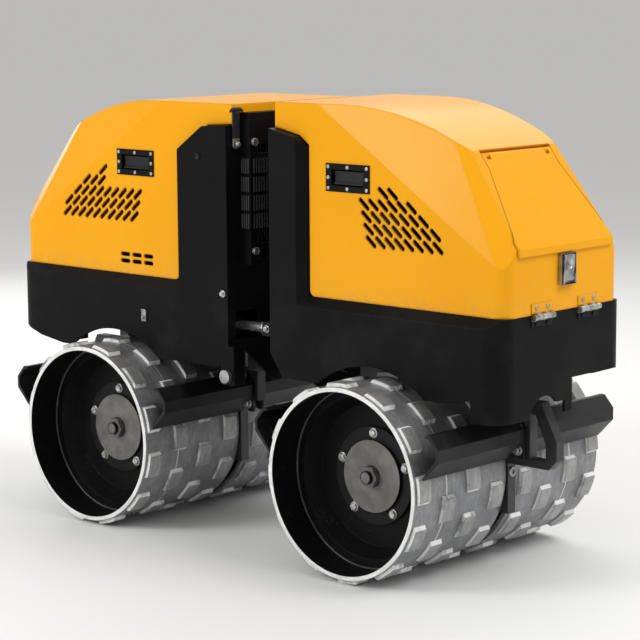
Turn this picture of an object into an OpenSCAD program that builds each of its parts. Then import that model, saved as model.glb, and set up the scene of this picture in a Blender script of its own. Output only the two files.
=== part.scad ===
// Articulated tandem trench roller: two framed units, each carried by a pair of padded drum halves,
// joined by a steering and oscillating knuckle. X runs along the machine with the front unit on +X,
// Z is up and the ground is at zero. Both units are drawn in unit coordinates, where x grows from the
// middle of the machine towards that unit's own end, and the rear unit is mirrored.

/* [Overall] */
// Half of the body's length, from the middle to either end plate
body_half_l = 942; // [900:1:980]
// Distance from the middle of the machine to each axle
axle_x = 506; // [490:1:520]
// Width of the black frames
frame_w = 556; // [540:1:570]
// Height of the frame's upper edge above the ground
frame_top_z = 738; // [730:1:745]
// Height of the front hood's flat top above the ground
hood_top_z = 1266; // [1255:1:1280]
// Height of the rear hood's flat top above the ground
rear_hood_top_z = 1254; // [1245:1:1266]
// Thickness of the frames' plates
plate_t = 8; // [6:1:10]

/* [Drums] */
// Outer diameter of the drum shells without their pads
drum_d = 520; // [510:1:524]
// Width over both drum halves
drum_w = 800; // [780:1:820]
// Gap between the two drum halves of one axle
drum_gap = 36; // [34:1:40]
// Wall of the drum shells
shell_t = 12; // [10:1:14]
// Height of the pads on the shells
pad_h = 12; // [10:1:14]
// Width of one pad across the machine
pad_w = 45; // [40:1:50]
// Length of one pad at its top, round the drum
pad_l = 62; // [50:1:70]
// Slope length at each end of a pad
pad_slope = 9; // [5:1:12]
// Pads in one ring
pad_count = 12; // [10:1:14]
// Rings of pads on one drum half
pad_rings = 4; // [3:1:4]
// Depth from the outer rim to the dished web
web_inset = 100; // [90:1:110]
// Depth of the dish behind the web's rim
web_dish = 48; // [40:1:52]
// Radius of the round hub cover
hub_r = 100; // [96:1:102]
// Bolts in one hub flange
hub_bolts = 5; // [4:1:8]

/* [Frames] */
// Height of the floor's underside over the drums
floor_z = 575; // [573:1:580]
// Height of the bevelled edge under the hoods
ledge_h = 26; // [20:1:30]
// Radius of the arches over the drums
arch_r = 300; // [296:1:302]
// Height of the side plates' lower edge
side_low_z = 505; // [500:1:515]
// Height of the deeper corner of the end plates
lobe_z = 465; // [458:1:475]
// Distance from the middle to the front tower's inner face
front_in_x = 138; // [134:1:142]
// Distance from the middle to the rear tower's inner face
rear_in_x = 28; // [24:1:32]
// Distance from the middle to the front tower's outer edge
front_out_x = 262; // [258:1:266]
// Distance from the middle to the rear tower's outer edge
rear_out_x = 250; // [246:1:254]
// Height of the towers
tower_z = 1195; // [1185:1:1200]

/* [Hoods] */
// Wall of the hoods
hood_t = 5; // [4:1:6]
// Step in from the frames' bevelled edge to the hoods' sides
hood_step = 2; // [1:1:6]
// Distance from the middle to the start of the long arc over the hood's top
hood_arc_x = 353; // [345:1:360]
// Distance from the end plate back to the top of the sloping end panel
slope_top_in = 169; // [162:1:177]
// Height of the top of the sloping end panel
slope_top_z = 1156; // [1150:1:1162]
// Distance from the end plate back to the bottom of the sloping end panel
slope_end_in = 5; // [4:1:8]
// Height of the bottom of the sloping end panel
slope_end_z = 930; // [926:1:934]
// Radius of the hood's upright end corners
hood_corner_r = 41; // [36:1:46]
// Thickness of the sloping access flap
flap_t = 16; // [14:1:18]

/* [Vents] */
// Length of one louvre slot
vent_l = 46; // [40:1:48]
// Width of one louvre slot
vent_w = 13; // [10:1:14]
// Slope of the louvre slots, in degrees
vent_tilt = 40; // [36:1:43]
// Distance between slots along the machine
vent_pitch = 33; // [31:1:34]
// Distance between rows of slots
vent_row = 33; // [31:1:35]

/* [Joint] */
// Distance from the middle to the steering pivot
pivot_x = 55; // [52:1:58]
// Diameter of the steering pin
steer_pin_d = 50; // [44:1:54]
// Height of the oscillation shaft
swing_z = 560; // [556:1:564]
// Diameter of the oscillation shaft
swing_d = 100; // [90:2:104]
// Distance from the frame's side in to the steering cylinder
cylinder_in = 78; // [73:1:88]
// Height of the steering cylinder
cylinder_z = 622; // [620:1:626]
// Outer diameter of the steering cylinder
cylinder_d = 50; // [44:1:54]

/* [Hidden] */

$fn = 64;

// Paints
PAINT_YELLOW = [0.96, 0.66, 0.12];
PAINT_BLACK = [0.09, 0.09, 0.10];
STEEL_WORN = [0.72, 0.72, 0.70];
STEEL_GREY = [0.50, 0.50, 0.49];
CHROME = [0.85, 0.86, 0.88];
CAST = [0.24, 0.25, 0.27];
RUBBER = [0.06, 0.06, 0.06];

// Clearances
// Overrun of every cut past the face that it starts from
over = 1;
// Gap between pieces of one body that seat on each other
seat = 0.3;
// Radial clearance of a shaft that turns in a bore
run_fit = 0.05;
// Side play of a piece that swings between cheeks
side_play = 1;

// Values that follow from the driving dimensions
drum_r = drum_d / 2;
pad_r = drum_r + pad_h;
axle_z = pad_r;
drum_out_y = drum_w / 2;
drum_in_y = drum_gap / 2;
frame_half = frame_w / 2;
hood_half = frame_half - ledge_h - hood_step;
hood_w = 2 * hood_half;
slope_top_x = body_half_l - slope_top_in;
slope_end_x = body_half_l - slope_end_in;
cylinder_y = frame_half - cylinder_in;
floor_top_z = floor_z + plate_t;
hood_low_z = frame_top_z + seat;
far_len = 4 * body_half_l;

// A profile drawn in x and z, made solid across the machine over width w about the middle
module across(w) {
    rotate([90, 0, 0])
        translate([0, 0, -w / 2])
            linear_extrude(w)
                children();
}

// A profile drawn in x and z, made solid from y0 over the length l towards +Y
module slab_y(y0, l) {
    translate([0, y0 + l, 0])
        rotate([90, 0, 0])
            linear_extrude(l)
                children();
}

// A profile drawn in y and z, made solid from x0 over the length l towards +X
module slab_x(x0, l) {
    translate([x0, 0, 0])
        rotate([90, 0, 90])
            linear_extrude(l)
                children();
}

// A profile of radius and y, turned about the axle's own line
module turned_y() {
    rotate([-90, 0, 0])
        rotate_extrude($fn = 96)
            children();
}

// A round bar along Y from y0, of radius r and length l
module bar_y(r, y0, l) {
    translate([0, y0, 0])
        rotate([-90, 0, 0])
            cylinder(r = r, h = l);
}

// A round bar along X from x0, of radius r and length l
module bar_x(r, x0, l) {
    translate([x0, 0, 0])
        rotate([0, 90, 0])
            cylinder(r = r, h = l);
}

// All that lies beyond a plane through p with outward normal n, moved inwards by inset
module beyond(p, n, inset) {
    unit_n = n / norm(n);
    translate(p - inset * unit_n)
        rotate([0, acos(unit_n[2]), atan2(unit_n[1], unit_n[0])])
            translate([-far_len / 2, -far_len / 2, 0])
                cube(far_len);
}

// The children as drawn and again on the other side of the machine
module both_sides() {
    children();
    mirror([0, 1, 0])
        children();
}

// The front unit as drawn, or the rear unit mirrored lengthwise
module unit(front) {
    mirror([front ? 0 : 1, 0, 0])
        children();
}

// The left drum half as drawn, or the right one mirrored
module half(left) {
    mirror([0, left ? 0 : 1, 0])
        children();
}

// A slot with round ends, of length l and width w, about the origin along x
module slot_2d(l, w) {
    square([l - w, w], center = true);
    for (side = [-1, 1])
        translate([side * (l - w) / 2, 0])
            circle(d = w, $fn = 24);
}

function inner_x(front) = front ? front_in_x : rear_in_x;
function outer_x(front) = front ? front_out_x : rear_out_x;
function top_z(front) = front ? hood_top_z : rear_hood_top_z;

// Drum halves: a rolled shell with staggered pads and a dished web welded into it

pad_pitch_deg = 360 / pad_count;
pad_edge = 9;
pad_in_edge = 22;
pad_ring_pitch = (drum_out_y - drum_in_y - pad_edge - pad_in_edge - pad_w) / (pad_rings - 1);
web_t = 12;
web_rim_w = 26;
web_bore_clear = 4;
web_cone_share = 0.48;
hub_flange_w = 35;
hub_flange_r = hub_r + hub_flange_w;
hub_flange_t = 10;
hub_proud = 20;
web_rim_y = drum_out_y - web_inset;
web_flat_y = web_rim_y - web_dish;
bolt_circle_out = 18;
bolt_circle_r = hub_r + bolt_circle_out;
bolt_d = 12;
bolt_slack = 0.2;

function arc_deg(l, r) = l / r * 180 / PI;

// Outline of one ring of pads: a disc at the pads' tops with a wedge cut away between them
module pad_ring_2d(phase) {
    base_r = drum_r - shell_t / 4;
    tip_half = arc_deg(pad_l / 2, pad_r);
    base_half = arc_deg(pad_l / 2 + pad_slope, drum_r);
    tip_gap = pad_pitch_deg / 2 - tip_half;
    base_gap = pad_pitch_deg / 2 - base_half;
    grow = (tip_gap - base_gap) / pad_h * (shell_t / 4);
    low_gap = base_gap - grow;
    high_gap = tip_gap + grow;
    high_r = pad_r + shell_t / 4;
    difference() {
        circle(r = pad_r, $fn = 96);
        circle(r = drum_r - shell_t / 2, $fn = 96);
        for (i = [0 : pad_count - 1])
            rotate(phase + (i + 1 / 2) * pad_pitch_deg)
                polygon([
                    base_r * [cos(low_gap), -sin(low_gap)],
                    high_r * [cos(high_gap), -sin(high_gap)],
                    high_r / cos(high_gap) * [1, 0],
                    high_r * [cos(high_gap), sin(high_gap)],
                    base_r * [cos(low_gap), sin(low_gap)]
                ]);
    }
}

// The dished web's section in radius and distance from the middle of the machine
module web_section() {
    rim_r = drum_r - shell_t / 2;
    fold_r = drum_r - shell_t - web_rim_w;
    flat_r = fold_r - web_dish * web_cone_share - web_t / 4;
    skew = web_t / 2;
    polygon([
        [rim_r, web_rim_y],
        [fold_r, web_rim_y],
        [flat_r, web_flat_y],
        [hub_r + web_bore_clear, web_flat_y],
        [hub_r + web_bore_clear, web_flat_y - web_t],
        [flat_r + skew, web_flat_y - web_t],
        [fold_r + skew, web_rim_y - web_t],
        [rim_r, web_rim_y - web_t]
    ]);
}

module hub_bolt_places() {
    for (i = [0 : hub_bolts - 1])
        rotate([0, -(90 + i * 360 / hub_bolts), 0])
            translate([bolt_circle_r, 0, 0])
                children();
}

module drum(left, phase) {
    ring_w = drum_out_y - drum_in_y;
    color(STEEL_WORN)
        translate([axle_x, 0, axle_z])
            half(left)
                difference() {
                    union() {
                        bar_y(drum_r, drum_in_y, ring_w);
                        for (k = [0 : pad_rings - 1])
                            slab_y(drum_out_y - pad_edge - pad_w - k * pad_ring_pitch, pad_w)
                                pad_ring_2d(phase + k % 2 * pad_pitch_deg / 2);
                    }
                    difference() {
                        bar_y(drum_r - shell_t, drum_in_y - over, ring_w + 2 * over);
                        turned_y()
                            web_section();
                    }
                    hub_bolt_places()
                        bar_y(bolt_d / 2 + bolt_slack, web_flat_y - web_t - over, web_t + 2 * over);
                }
}

// Hubs: a flanged bearing hub bolted to each web, closed by its round cover

hub_wall = 20;
hub_bore_r = hub_r - hub_wall;
hub_l = 112;
hub_in_y = web_flat_y - hub_l;
hub_cap_t = 56;
hub_top_y = web_flat_y + hub_proud;
stud_d = 36;
stud_l = 26;

module hub(left) {
    color(STEEL_GREY)
        translate([axle_x, 0, axle_z])
            half(left)
                difference() {
                    union() {
                        turned_y()
                            polygon([
                                [hub_bore_r, hub_in_y],
                                [hub_r, hub_in_y],
                                [hub_r, web_flat_y],
                                [hub_flange_r, web_flat_y],
                                [hub_flange_r, web_flat_y + hub_flange_t],
                                [hub_r, web_flat_y + hub_flange_t],
                                [hub_r, hub_top_y],
                                [0, hub_top_y],
                                [0, hub_top_y - hub_cap_t],
                                [hub_bore_r, hub_top_y - hub_cap_t]
                            ]);
                        bar_y(stud_d / 2, hub_top_y - over, stud_l + over);
                    }
                    hub_bolt_places()
                        bar_y(bolt_d / 2 + bolt_slack, web_flat_y - over, hub_flange_t + 2 * over);
                }
}

bolt_head_r = 10.5;
bolt_head_h = 8;
nut_r = 31;
nut_h = 16;

module hub_bolt_set(left) {
    color(CHROME)
        translate([axle_x, 0, axle_z])
            half(left) {
                hub_bolt_places() {
                    bar_y(bolt_d / 2, web_flat_y - web_t, web_t + hub_flange_t);
                    translate([0, web_flat_y + hub_flange_t, 0])
                        rotate([-90, 0, 0])
                            cylinder(r = bolt_head_r, h = bolt_head_h, $fn = 6);
                }
                difference() {
                    translate([0, hub_top_y, 0])
                        rotate([-90, 0, 0])
                            cylinder(r = nut_r, h = nut_h, $fn = 6);
                    bar_y(stud_d / 2 + bolt_slack, hub_top_y - over, nut_h + 2 * over);
                }
            }
}

// Axle housings: the fixed tube between the two hubs, with the exciter chamber in the middle

carrier_gap = 2;
carrier_t = drum_gap - 2 * carrier_gap;
housing_r = 110;
chamber_r = 88;
hub_gap = 14;
chamber_wall = 22;
housing_half = hub_in_y - hub_gap;
chamber_half = housing_half - chamber_wall;
stub_r = 60;
stub_gap = 7;
stub_end_y = hub_top_y - hub_cap_t - stub_gap;
housing_flange_r = 138;
housing_flange_t = 12;
shaft_r = 22;
shaft_bearing_w = 12;
shaft_half = chamber_half + shaft_bearing_w;
seat_r = 40;

module axle_housing() {
    color(CAST)
        translate([axle_x, 0, axle_z])
            difference() {
                union() {
                    bar_y(stub_r, -stub_end_y, 2 * stub_end_y);
                    bar_y(housing_r, -housing_half, 2 * housing_half);
                    bar_y(housing_flange_r, carrier_t / 2, housing_flange_t);
                }
                bar_y(chamber_r, -chamber_half, 2 * chamber_half);
                bar_y(seat_r, -shaft_half, 2 * shaft_half);
            }
}

hub_bearing_in = 10;
hub_bearing_y = hub_in_y + hub_bearing_in;
hub_bearing_w = 40;

module bearing_set() {
    color(CHROME)
        translate([axle_x, 0, axle_z])
            both_sides() {
                difference() {
                    bar_y(hub_bore_r - run_fit, hub_bearing_y, hub_bearing_w);
                    bar_y(stub_r, hub_bearing_y - over, hub_bearing_w + 2 * over);
                }
                difference() {
                    bar_y(seat_r, chamber_half, shaft_bearing_w);
                    bar_y(shaft_r + run_fit, chamber_half - over, shaft_bearing_w + 2 * over);
                }
            }
}

weight_r = 78;
weight_gap = 29;
weight_w = 2 * (chamber_half - weight_gap);

module exciter_shaft() {
    color(STEEL_GREY)
        translate([axle_x, 0, axle_z]) {
            bar_y(shaft_r, seat - shaft_half, 2 * shaft_half - 2 * seat);
            difference() {
                bar_y(weight_r, -weight_w / 2, weight_w);
                translate([-2 * weight_r, -weight_w, shaft_r / 2])
                    cube([4 * weight_r, 2 * weight_w, 2 * weight_r]);
            }
        }
}

// Carriers: the upright plate between the drum halves, with the lashing eye at its outer end

post_x = 266;
post_low = 108;
carrier_round_r = 240;
nose_x = 338;
nose_low = 85;
nose_high = 175;
eye_low = 32;
eye_high = 212;
eye_out_x = 427;
eye_top_x = 375;
eye_side_z = 112;
eye_corner = 26;
eye_bar = 36;

module carrier_2d() {
    top = floor_z - axle_z;
    difference() {
        union() {
            circle(r = carrier_round_r, $fn = 96);
            translate([-post_x, -post_low])
                square([2 * post_x, top + post_low]);
            translate([-nose_x, nose_low])
                square([nose_x, nose_high - nose_low]);
            polygon([
                [post_x - over, eye_low],
                [eye_out_x - eye_corner, eye_low],
                [eye_out_x, eye_low + eye_corner],
                [eye_out_x, eye_side_z],
                [eye_top_x, eye_high],
                [post_x - over, eye_high]
            ]);
        }
        circle(r = housing_r + seat, $fn = 96);
        polygon([
            [nose_x + over, eye_low + eye_bar - eye_corner / 2],
            [eye_out_x - eye_bar, eye_low + eye_bar - eye_corner / 2],
            [eye_out_x - eye_bar, eye_side_z - eye_corner / 2],
            [eye_top_x - eye_bar / 2, eye_high - eye_bar],
            [nose_x + over, eye_high - eye_bar]
        ]);
    }
}

module carrier() {
    color(PAINT_BLACK)
        translate([axle_x, 0, axle_z])
            across(carrier_t)
                carrier_2d();
}

// Scrapers: a folded bar along each drum half with comb teeth between the rings of pads

scraper_t = 8;
scraper_top = 168;
scraper_in_x = 282;
scraper_out_x = 326;
scraper_end = 15;
scraper_slope_x = 30;
scraper_slope_z = 34;
scraper_fold = atan2(scraper_slope_z, scraper_slope_x);
scraper_face_low = 100;
scraper_tip_z = 48;
bracket_low = 52;
comb_clear = 7;
scraper_bolt_r = 11;
scraper_bolt_z = [76, 136];

module scraper_section() {
    polygon([
        [scraper_in_x, scraper_top],
        [scraper_out_x - scraper_slope_x, scraper_top],
        [scraper_out_x, scraper_top - scraper_slope_z],
        [scraper_out_x, scraper_face_low],
        [scraper_out_x - scraper_t, scraper_face_low],
        [scraper_out_x - scraper_t,
         scraper_top - scraper_slope_z - scraper_t * tan(45 - scraper_fold / 2)],
        [scraper_out_x - scraper_slope_x - scraper_t * tan(scraper_fold / 2), scraper_top - scraper_t],
        [scraper_in_x, scraper_top - scraper_t]
    ]);
}

module comb_section(reach) {
    tip = reach * [cos(arc_deg(scraper_tip_z, reach)), sin(arc_deg(scraper_tip_z, reach))];
    polygon([
        [scraper_out_x, scraper_face_low],
        [scraper_out_x, scraper_face_low + scraper_t],
        [scraper_out_x - scraper_t, scraper_face_low + scraper_t],
        tip + [0, scraper_t],
        tip
    ]);
}

module scraper() {
    reach_ring = pad_r + comb_clear;
    reach_gap = drum_r + comb_clear / 2;
    inner_y = carrier_t / 2;
    first_pad_y = drum_out_y - pad_edge - pad_w;
    length = drum_out_y - scraper_end - inner_y;
    slab_y(inner_y, length)
        scraper_section();
    slab_y(inner_y, length)
        comb_section(reach_ring);
    for (k = [1 : pad_rings - 1])
        slab_y(first_pad_y - (k - 1) * pad_ring_pitch - (pad_ring_pitch - pad_w) + comb_clear,
               pad_ring_pitch - pad_w - 2 * comb_clear)
            comb_section(reach_gap);
    slab_y(inner_y, scraper_t)
        polygon([
            [scraper_in_x, scraper_top],
            [scraper_in_x, bracket_low + eye_corner],
            [scraper_in_x + eye_corner, bracket_low],
            [scraper_out_x, bracket_low],
            [scraper_out_x, scraper_top - scraper_slope_z],
            [scraper_out_x - scraper_slope_x, scraper_top]
        ]);
    for (z = scraper_bolt_z)
        translate([(scraper_in_x + scraper_out_x) / 2, inner_y + scraper_t - over, z])
            rotate([-90, 0, 0])
                cylinder(r = scraper_bolt_r, h = bolt_head_h + over, $fn = 24);
}

module scraper_set() {
    color(PAINT_BLACK)
        translate([axle_x, 0, axle_z])
            both_sides() {
                scraper();
                mirror([1, 0, 0])
                    scraper();
            }
}

// Frames: a bevelled tub with drum arches, a floor, a tower at the inner end and an end plate

side_bevel_z = frame_top_z - ledge_h;
ledge_half = frame_half - ledge_h;
frame_corner_r = 60;
end_low_z = 553;
side_mid_in = 101;
side_mid_x = body_half_l - side_mid_in;
side_low_run = 100;
side_mid_z = 520;
side_in_cut = 46;
side_in_z = 570;
lobe_in = 92;
lobe_in_x = body_half_l - lobe_in;
lobe_y = 37;
cutout_mid_y = -82;
cutout_r = 66;
cutout_low = 11;
cutout_step_y = 44;
cutout_step_w = 44;
cutout_step_h = 32;
wall_drop_half = 90;
wall_drop_z = 448;
tower_fold = 24;
front_shoulder_x = 231;
front_shoulder_z = 1175;
front_edge_z = 1150;
rear_shoulder_x = 125;
rear_shoulder_z = 1190;
rear_edge_z = 1104;

// The side of the tub in x and z
module tub_side_2d(front) {
    in_x = inner_x(front);
    difference() {
        polygon([
            [in_x, side_in_z],
            [in_x + side_in_cut, side_low_z],
            [side_mid_x - side_low_run, side_low_z],
            [side_mid_x, side_mid_z],
            [body_half_l, end_low_z],
            [body_half_l, frame_top_z],
            [in_x, frame_top_z]
        ]);
        translate([axle_x, axle_z])
            circle(r = arch_r, $fn = 96);
    }
}

// The tub's section in y and z, drawn inwards by t, from the height low
module tub_section_2d(t, low, high) {
    step = t * (sqrt(2) - 1);
    side = frame_half - t;
    top = ledge_half - t;
    polygon([
        [-side, low],
        [side, low],
        [side, side_bevel_z - step],
        [top, frame_top_z - step],
        [top, high],
        [-top, high],
        [-top, frame_top_z - step],
        [-side, side_bevel_z - step]
    ]);
}

// The tub's plan, drawn inwards by t, with rounded corners at the outer end
module tub_plan_2d(front, t) {
    in_x = inner_x(front) + t;
    end_x = body_half_l - t;
    side = frame_half - t;
    corner = frame_corner_r - t;
    translate([in_x, -side])
        square([end_x - in_x - corner, 2 * side]);
    translate([in_x, -side + corner])
        square([end_x - in_x, 2 * side - 2 * corner]);
    for (y = [-1, 1])
        translate([end_x - corner, y * (side - corner)])
            circle(r = corner);
}

// The tower's side in x and z, drawn inwards by t
module tower_side_2d(front, t) {
    in_x = inner_x(front) + t;
    out_x = outer_x(front) + t;
    low = side_bevel_z - over - t;
    polygon([
        [in_x, low],
        [in_x, tower_z - t],
        [front ? front_shoulder_x : rear_shoulder_x, (front ? front_shoulder_z : rear_shoulder_z) - t],
        [out_x, (front ? front_edge_z : rear_edge_z) - t],
        [out_x, low]
    ]);
}

// The tower's plan, drawn inwards by t, with its outer edges folded in towards the hood
module tower_plan_2d(front, t) {
    in_x = inner_x(front) + t;
    out_x = outer_x(front);
    step = t * (sqrt(2) - 1);
    side = frame_half - t;
    polygon([
        [in_x, -side],
        [out_x - tower_fold - step, -side],
        [out_x - step, -side + tower_fold],
        [out_x + t, -side + tower_fold],
        [out_x + t, side - tower_fold],
        [out_x - step, side - tower_fold],
        [out_x - tower_fold - step, side],
        [in_x, side]
    ]);
}

lug_r = 52;
lug_t = 20;
upper_lug_z = 640;
lower_lug_z = 462;
cooler_side = 73;
cooler_half_y = frame_half - cooler_side;
cooler_low_z = 800;
cooler_high_z = 1165;
cylinder_port = 92;
barrel_pin_x = 360;
barrel_pin_d = 24;
barrel_boss_h = 22;
sleeve_wall = 26;
sleeve_l = 62;
swing_nut_r = 66;
swing_nut_t = 12;

// Tub and tower of one unit, without what differs between the units
module frame_body(front) {
    in_x = inner_x(front);
    length = body_half_l - in_x;
    difference() {
        intersection() {
            across(frame_w)
                tub_side_2d(front);
            slab_x(in_x, length)
                tub_section_2d(0, 0, frame_top_z);
            linear_extrude(frame_top_z)
                tub_plan_2d(front, 0);
        }
        intersection() {
            slab_x(in_x, length)
                tub_section_2d(plate_t, floor_top_z, frame_top_z + over);
            linear_extrude(2 * frame_top_z)
                tub_plan_2d(front, plate_t);
        }
        intersection() {
            slab_x(in_x, length)
                tub_section_2d(plate_t, 0, floor_z);
            linear_extrude(floor_z)
                tub_plan_2d(front, plate_t);
        }
    }
    difference() {
        intersection() {
            across(frame_w)
                tower_side_2d(front, 0);
            linear_extrude(tower_z)
                tower_plan_2d(front, 0);
        }
        intersection() {
            across(frame_w)
                tower_side_2d(front, plate_t);
            linear_extrude(tower_z)
                tower_plan_2d(front, plate_t);
        }
    }
    // The inner wall's lower part that carries the joint
    slab_x(in_x, plate_t)
        polygon([
            [-frame_half + side_in_cut, side_in_z + over],
            [-wall_drop_half, wall_drop_z],
            [wall_drop_half, wall_drop_z],
            [frame_half - side_in_cut, side_in_z + over]
        ]);
    // The deeper corner of the end plate and of the side plate beside it
    mirror([0, front ? 0 : 1, 0])
        difference() {
            intersection() {
                translate([lobe_in_x, -frame_half, lobe_z])
                    cube([body_half_l - lobe_in_x, frame_half + lobe_y, end_low_z + ledge_h - lobe_z]);
                linear_extrude(frame_top_z)
                    tub_plan_2d(front, 0);
            }
            linear_extrude(frame_top_z)
                tub_plan_2d(front, plate_t);
            slab_x(lobe_in_x - over, body_half_l - lobe_in_x + 2 * over)
                union() {
                    translate([cutout_mid_y, lobe_z - cutout_low])
                        circle(r = cutout_r);
                    translate([cutout_mid_y + cutout_step_y, lobe_z - over])
                        square([cutout_step_w, cutout_step_h + over]);
                }
        }
}

module lug_plate(z) {
    in_x = -rear_in_x;
    translate([in_x - over, -lug_r, z])
        cube([pivot_x - in_x + over, 2 * lug_r, lug_t]);
    translate([pivot_x, 0, z])
        cylinder(r = lug_r, h = lug_t);
}

module rear_frame() {
    color(PAINT_BLACK) {
        difference() {
            union() {
                unit(false)
                    frame_body(false);
                lug_plate(upper_lug_z);
                lug_plate(lower_lug_z);
                translate([-barrel_pin_x, -cylinder_y, floor_z])
                    cylinder(r = cylinder_d / 2, h = plate_t + barrel_boss_h - plate_t / 2);
                translate([-barrel_pin_x, -cylinder_y, floor_z])
                    cylinder(d = barrel_pin_d - 2 * run_fit, h = cylinder_z - floor_z + cylinder_d / 2);
                lock_bracket();
                unit(false)
                    half(false)
                        hook_pin(false);
            }
            translate([pivot_x, 0, lower_lug_z - over])
                cylinder(d = steer_pin_d + 2 * run_fit, h = upper_lug_z + lug_t - lower_lug_z + 2 * over);
            slab_x(-rear_in_x - plate_t - over, plate_t + 2 * over)
                union() {
                    translate([-cooler_half_y, cooler_low_z])
                        square([2 * cooler_half_y, cooler_high_z - cooler_low_z]);
                    translate([-cylinder_y - cylinder_port / 2, floor_top_z])
                        square([cylinder_port, cylinder_port - plate_t]);
                }
            translate([-lock_x, -frame_half - over, lock_z])
                rotate([-90, 0, 0])
                    cylinder(r = lock_r + run_fit, h = lock_block_y + 2 * over);
        }
    }
}

// The lock pin's parking bracket under the rear frame's inner corner
lock_x = 32;
lock_z = 484;
lock_r = 16;
lock_block = 52;
lock_block_y = 46;

module lock_bracket() {
    translate([-lock_x - lock_block / 2, -frame_half, lock_z - lock_block / 2])
        cube([lock_block, lock_block_y, side_in_z - lock_z + lock_block / 2]);
}

lock_head_r = 19;
lock_head_t = 14;

module lock_pin() {
    color(CHROME)
        translate([-lock_x, -frame_half, lock_z])
            rotate([-90, 0, 0]) {
                translate([0, 0, -seat - lock_head_t])
                    cylinder(r = lock_head_r, h = lock_head_t);
                translate([0, 0, -seat - over])
                    cylinder(r = lock_r, h = lock_block_y + lock_head_t);
            }
}

module front_frame() {
    color(PAINT_BLACK)
        difference() {
            union() {
                frame_body(true);
                hook_pin(true);
                translate([0, 0, swing_z])
                    bar_x(swing_d / 2 + sleeve_wall, front_in_x, sleeve_l);
            }
            translate([0, 0, swing_z]) {
                bar_x(swing_d / 2 + run_fit, front_in_x - over, sleeve_l + 2 * over);
                bar_x(swing_nut_r + 2 * side_play, front_in_x + sleeve_l, 2 * swing_nut_t);
            }
        }
}

// Joint: the yoke swings on the steering pin and carries the oscillation shaft and steering arm

barrel_r = 50;
yoke_low_z = lower_lug_z + lug_t + side_play;
yoke_high_z = upper_lug_z - side_play;
arm_x = 56;
arm_t = 16;
arm_r = 18;
arm_root_r = barrel_r - 5;
arm_tip_r = arm_r - 2;
slot_reach = 20;
rod_pin_d = 16;
slot_play = 2;
yoke_flange_r = 84;
yoke_flange_t = 18;
arm_low_z = cylinder_z - arm_t / 2;

module arm_2d() {
    reach = norm([arm_x, cylinder_y]);
    heading = atan2(-cylinder_y, arm_x);
    rotate(heading)
        difference() {
            union() {
                polygon([
                    [0, -arm_root_r],
                    [reach, -arm_tip_r],
                    [reach, arm_tip_r],
                    [0, arm_root_r]
                ]);
                translate([reach + slot_reach / 2, 0])
                    circle(r = arm_r);
            }
            translate([reach + slot_reach / 2, 0])
                slot_2d(rod_pin_d + slot_reach + 2 * slot_play, rod_pin_d + 2 * slot_play);
        }
}

module joint_yoke() {
    color(CAST)
        difference() {
            union() {
                translate([pivot_x, 0, yoke_low_z])
                    cylinder(r = barrel_r, h = yoke_high_z - yoke_low_z);
                translate([0, 0, swing_z]) {
                    bar_x(barrel_r, pivot_x, front_in_x - side_play - pivot_x);
                    bar_x(yoke_flange_r, front_in_x - side_play - yoke_flange_t, yoke_flange_t);
                    bar_x(swing_d / 2, front_in_x - 2 * side_play, sleeve_l + 4 * side_play);
                    bar_x(swing_nut_r, front_in_x + sleeve_l + side_play, swing_nut_t);
                }
                translate([pivot_x, 0, arm_low_z])
                    linear_extrude(arm_t)
                        arm_2d();
            }
            translate([pivot_x, 0, lower_lug_z])
                cylinder(d = steer_pin_d, h = upper_lug_z - lower_lug_z);
        }
}

steer_cap_t = 10;
steer_cap_r = 34;

module steering_pin() {
    length = upper_lug_z + lug_t - lower_lug_z;
    color(CHROME)
        translate([pivot_x, 0, 0]) {
            translate([0, 0, lower_lug_z - side_play])
                cylinder(d = steer_pin_d, h = length + 2 * side_play);
            translate([0, 0, lower_lug_z + length + side_play])
                cylinder(r = steer_cap_r, h = steer_cap_t);
            translate([0, 0, lower_lug_z - side_play - steer_cap_t])
                cylinder(r = steer_cap_r, h = steer_cap_t);
        }
}

// Steering cylinder: the barrel swings on its boss in the rear unit, the rod slides in the barrel

eye_r = 24;
fork_r = 16;
eye_half = 17;
rod_r = 14;
barrel_l = 266;
barrel_start = 34;
gland_r = 29;
gland_t = 24;
bore_r = 20;
rod_pin_x = pivot_x + arm_x;
cheek_t = 10;
fork_back = 12;
fork_throat = 64;
rod_stroke = 96;
fork_gap = arm_t / 2 + 2 * side_play;

module at_cylinder() {
    translate([-barrel_pin_x, -cylinder_y, cylinder_z])
        children();
}

module steering_barrel() {
    color(PAINT_BLACK)
        at_cylinder()
            difference() {
                union() {
                    translate([0, 0, -eye_half])
                        cylinder(r = eye_r, h = 2 * eye_half);
                    bar_x(eye_half, 0, barrel_start + over);
                    bar_x(cylinder_d / 2, barrel_start, barrel_l);
                    bar_x(gland_r, barrel_start + barrel_l - gland_t, gland_t);
                }
                translate([0, 0, -cylinder_d])
                    cylinder(d = barrel_pin_d, h = 2 * cylinder_d);
                bar_x(bore_r, barrel_start + cheek_t, barrel_l - cheek_t - gland_t);
                bar_x(rod_r + run_fit, barrel_start + barrel_l - gland_t - over, gland_t + 2 * over);
            }
}

piston_t = 22;

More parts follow.
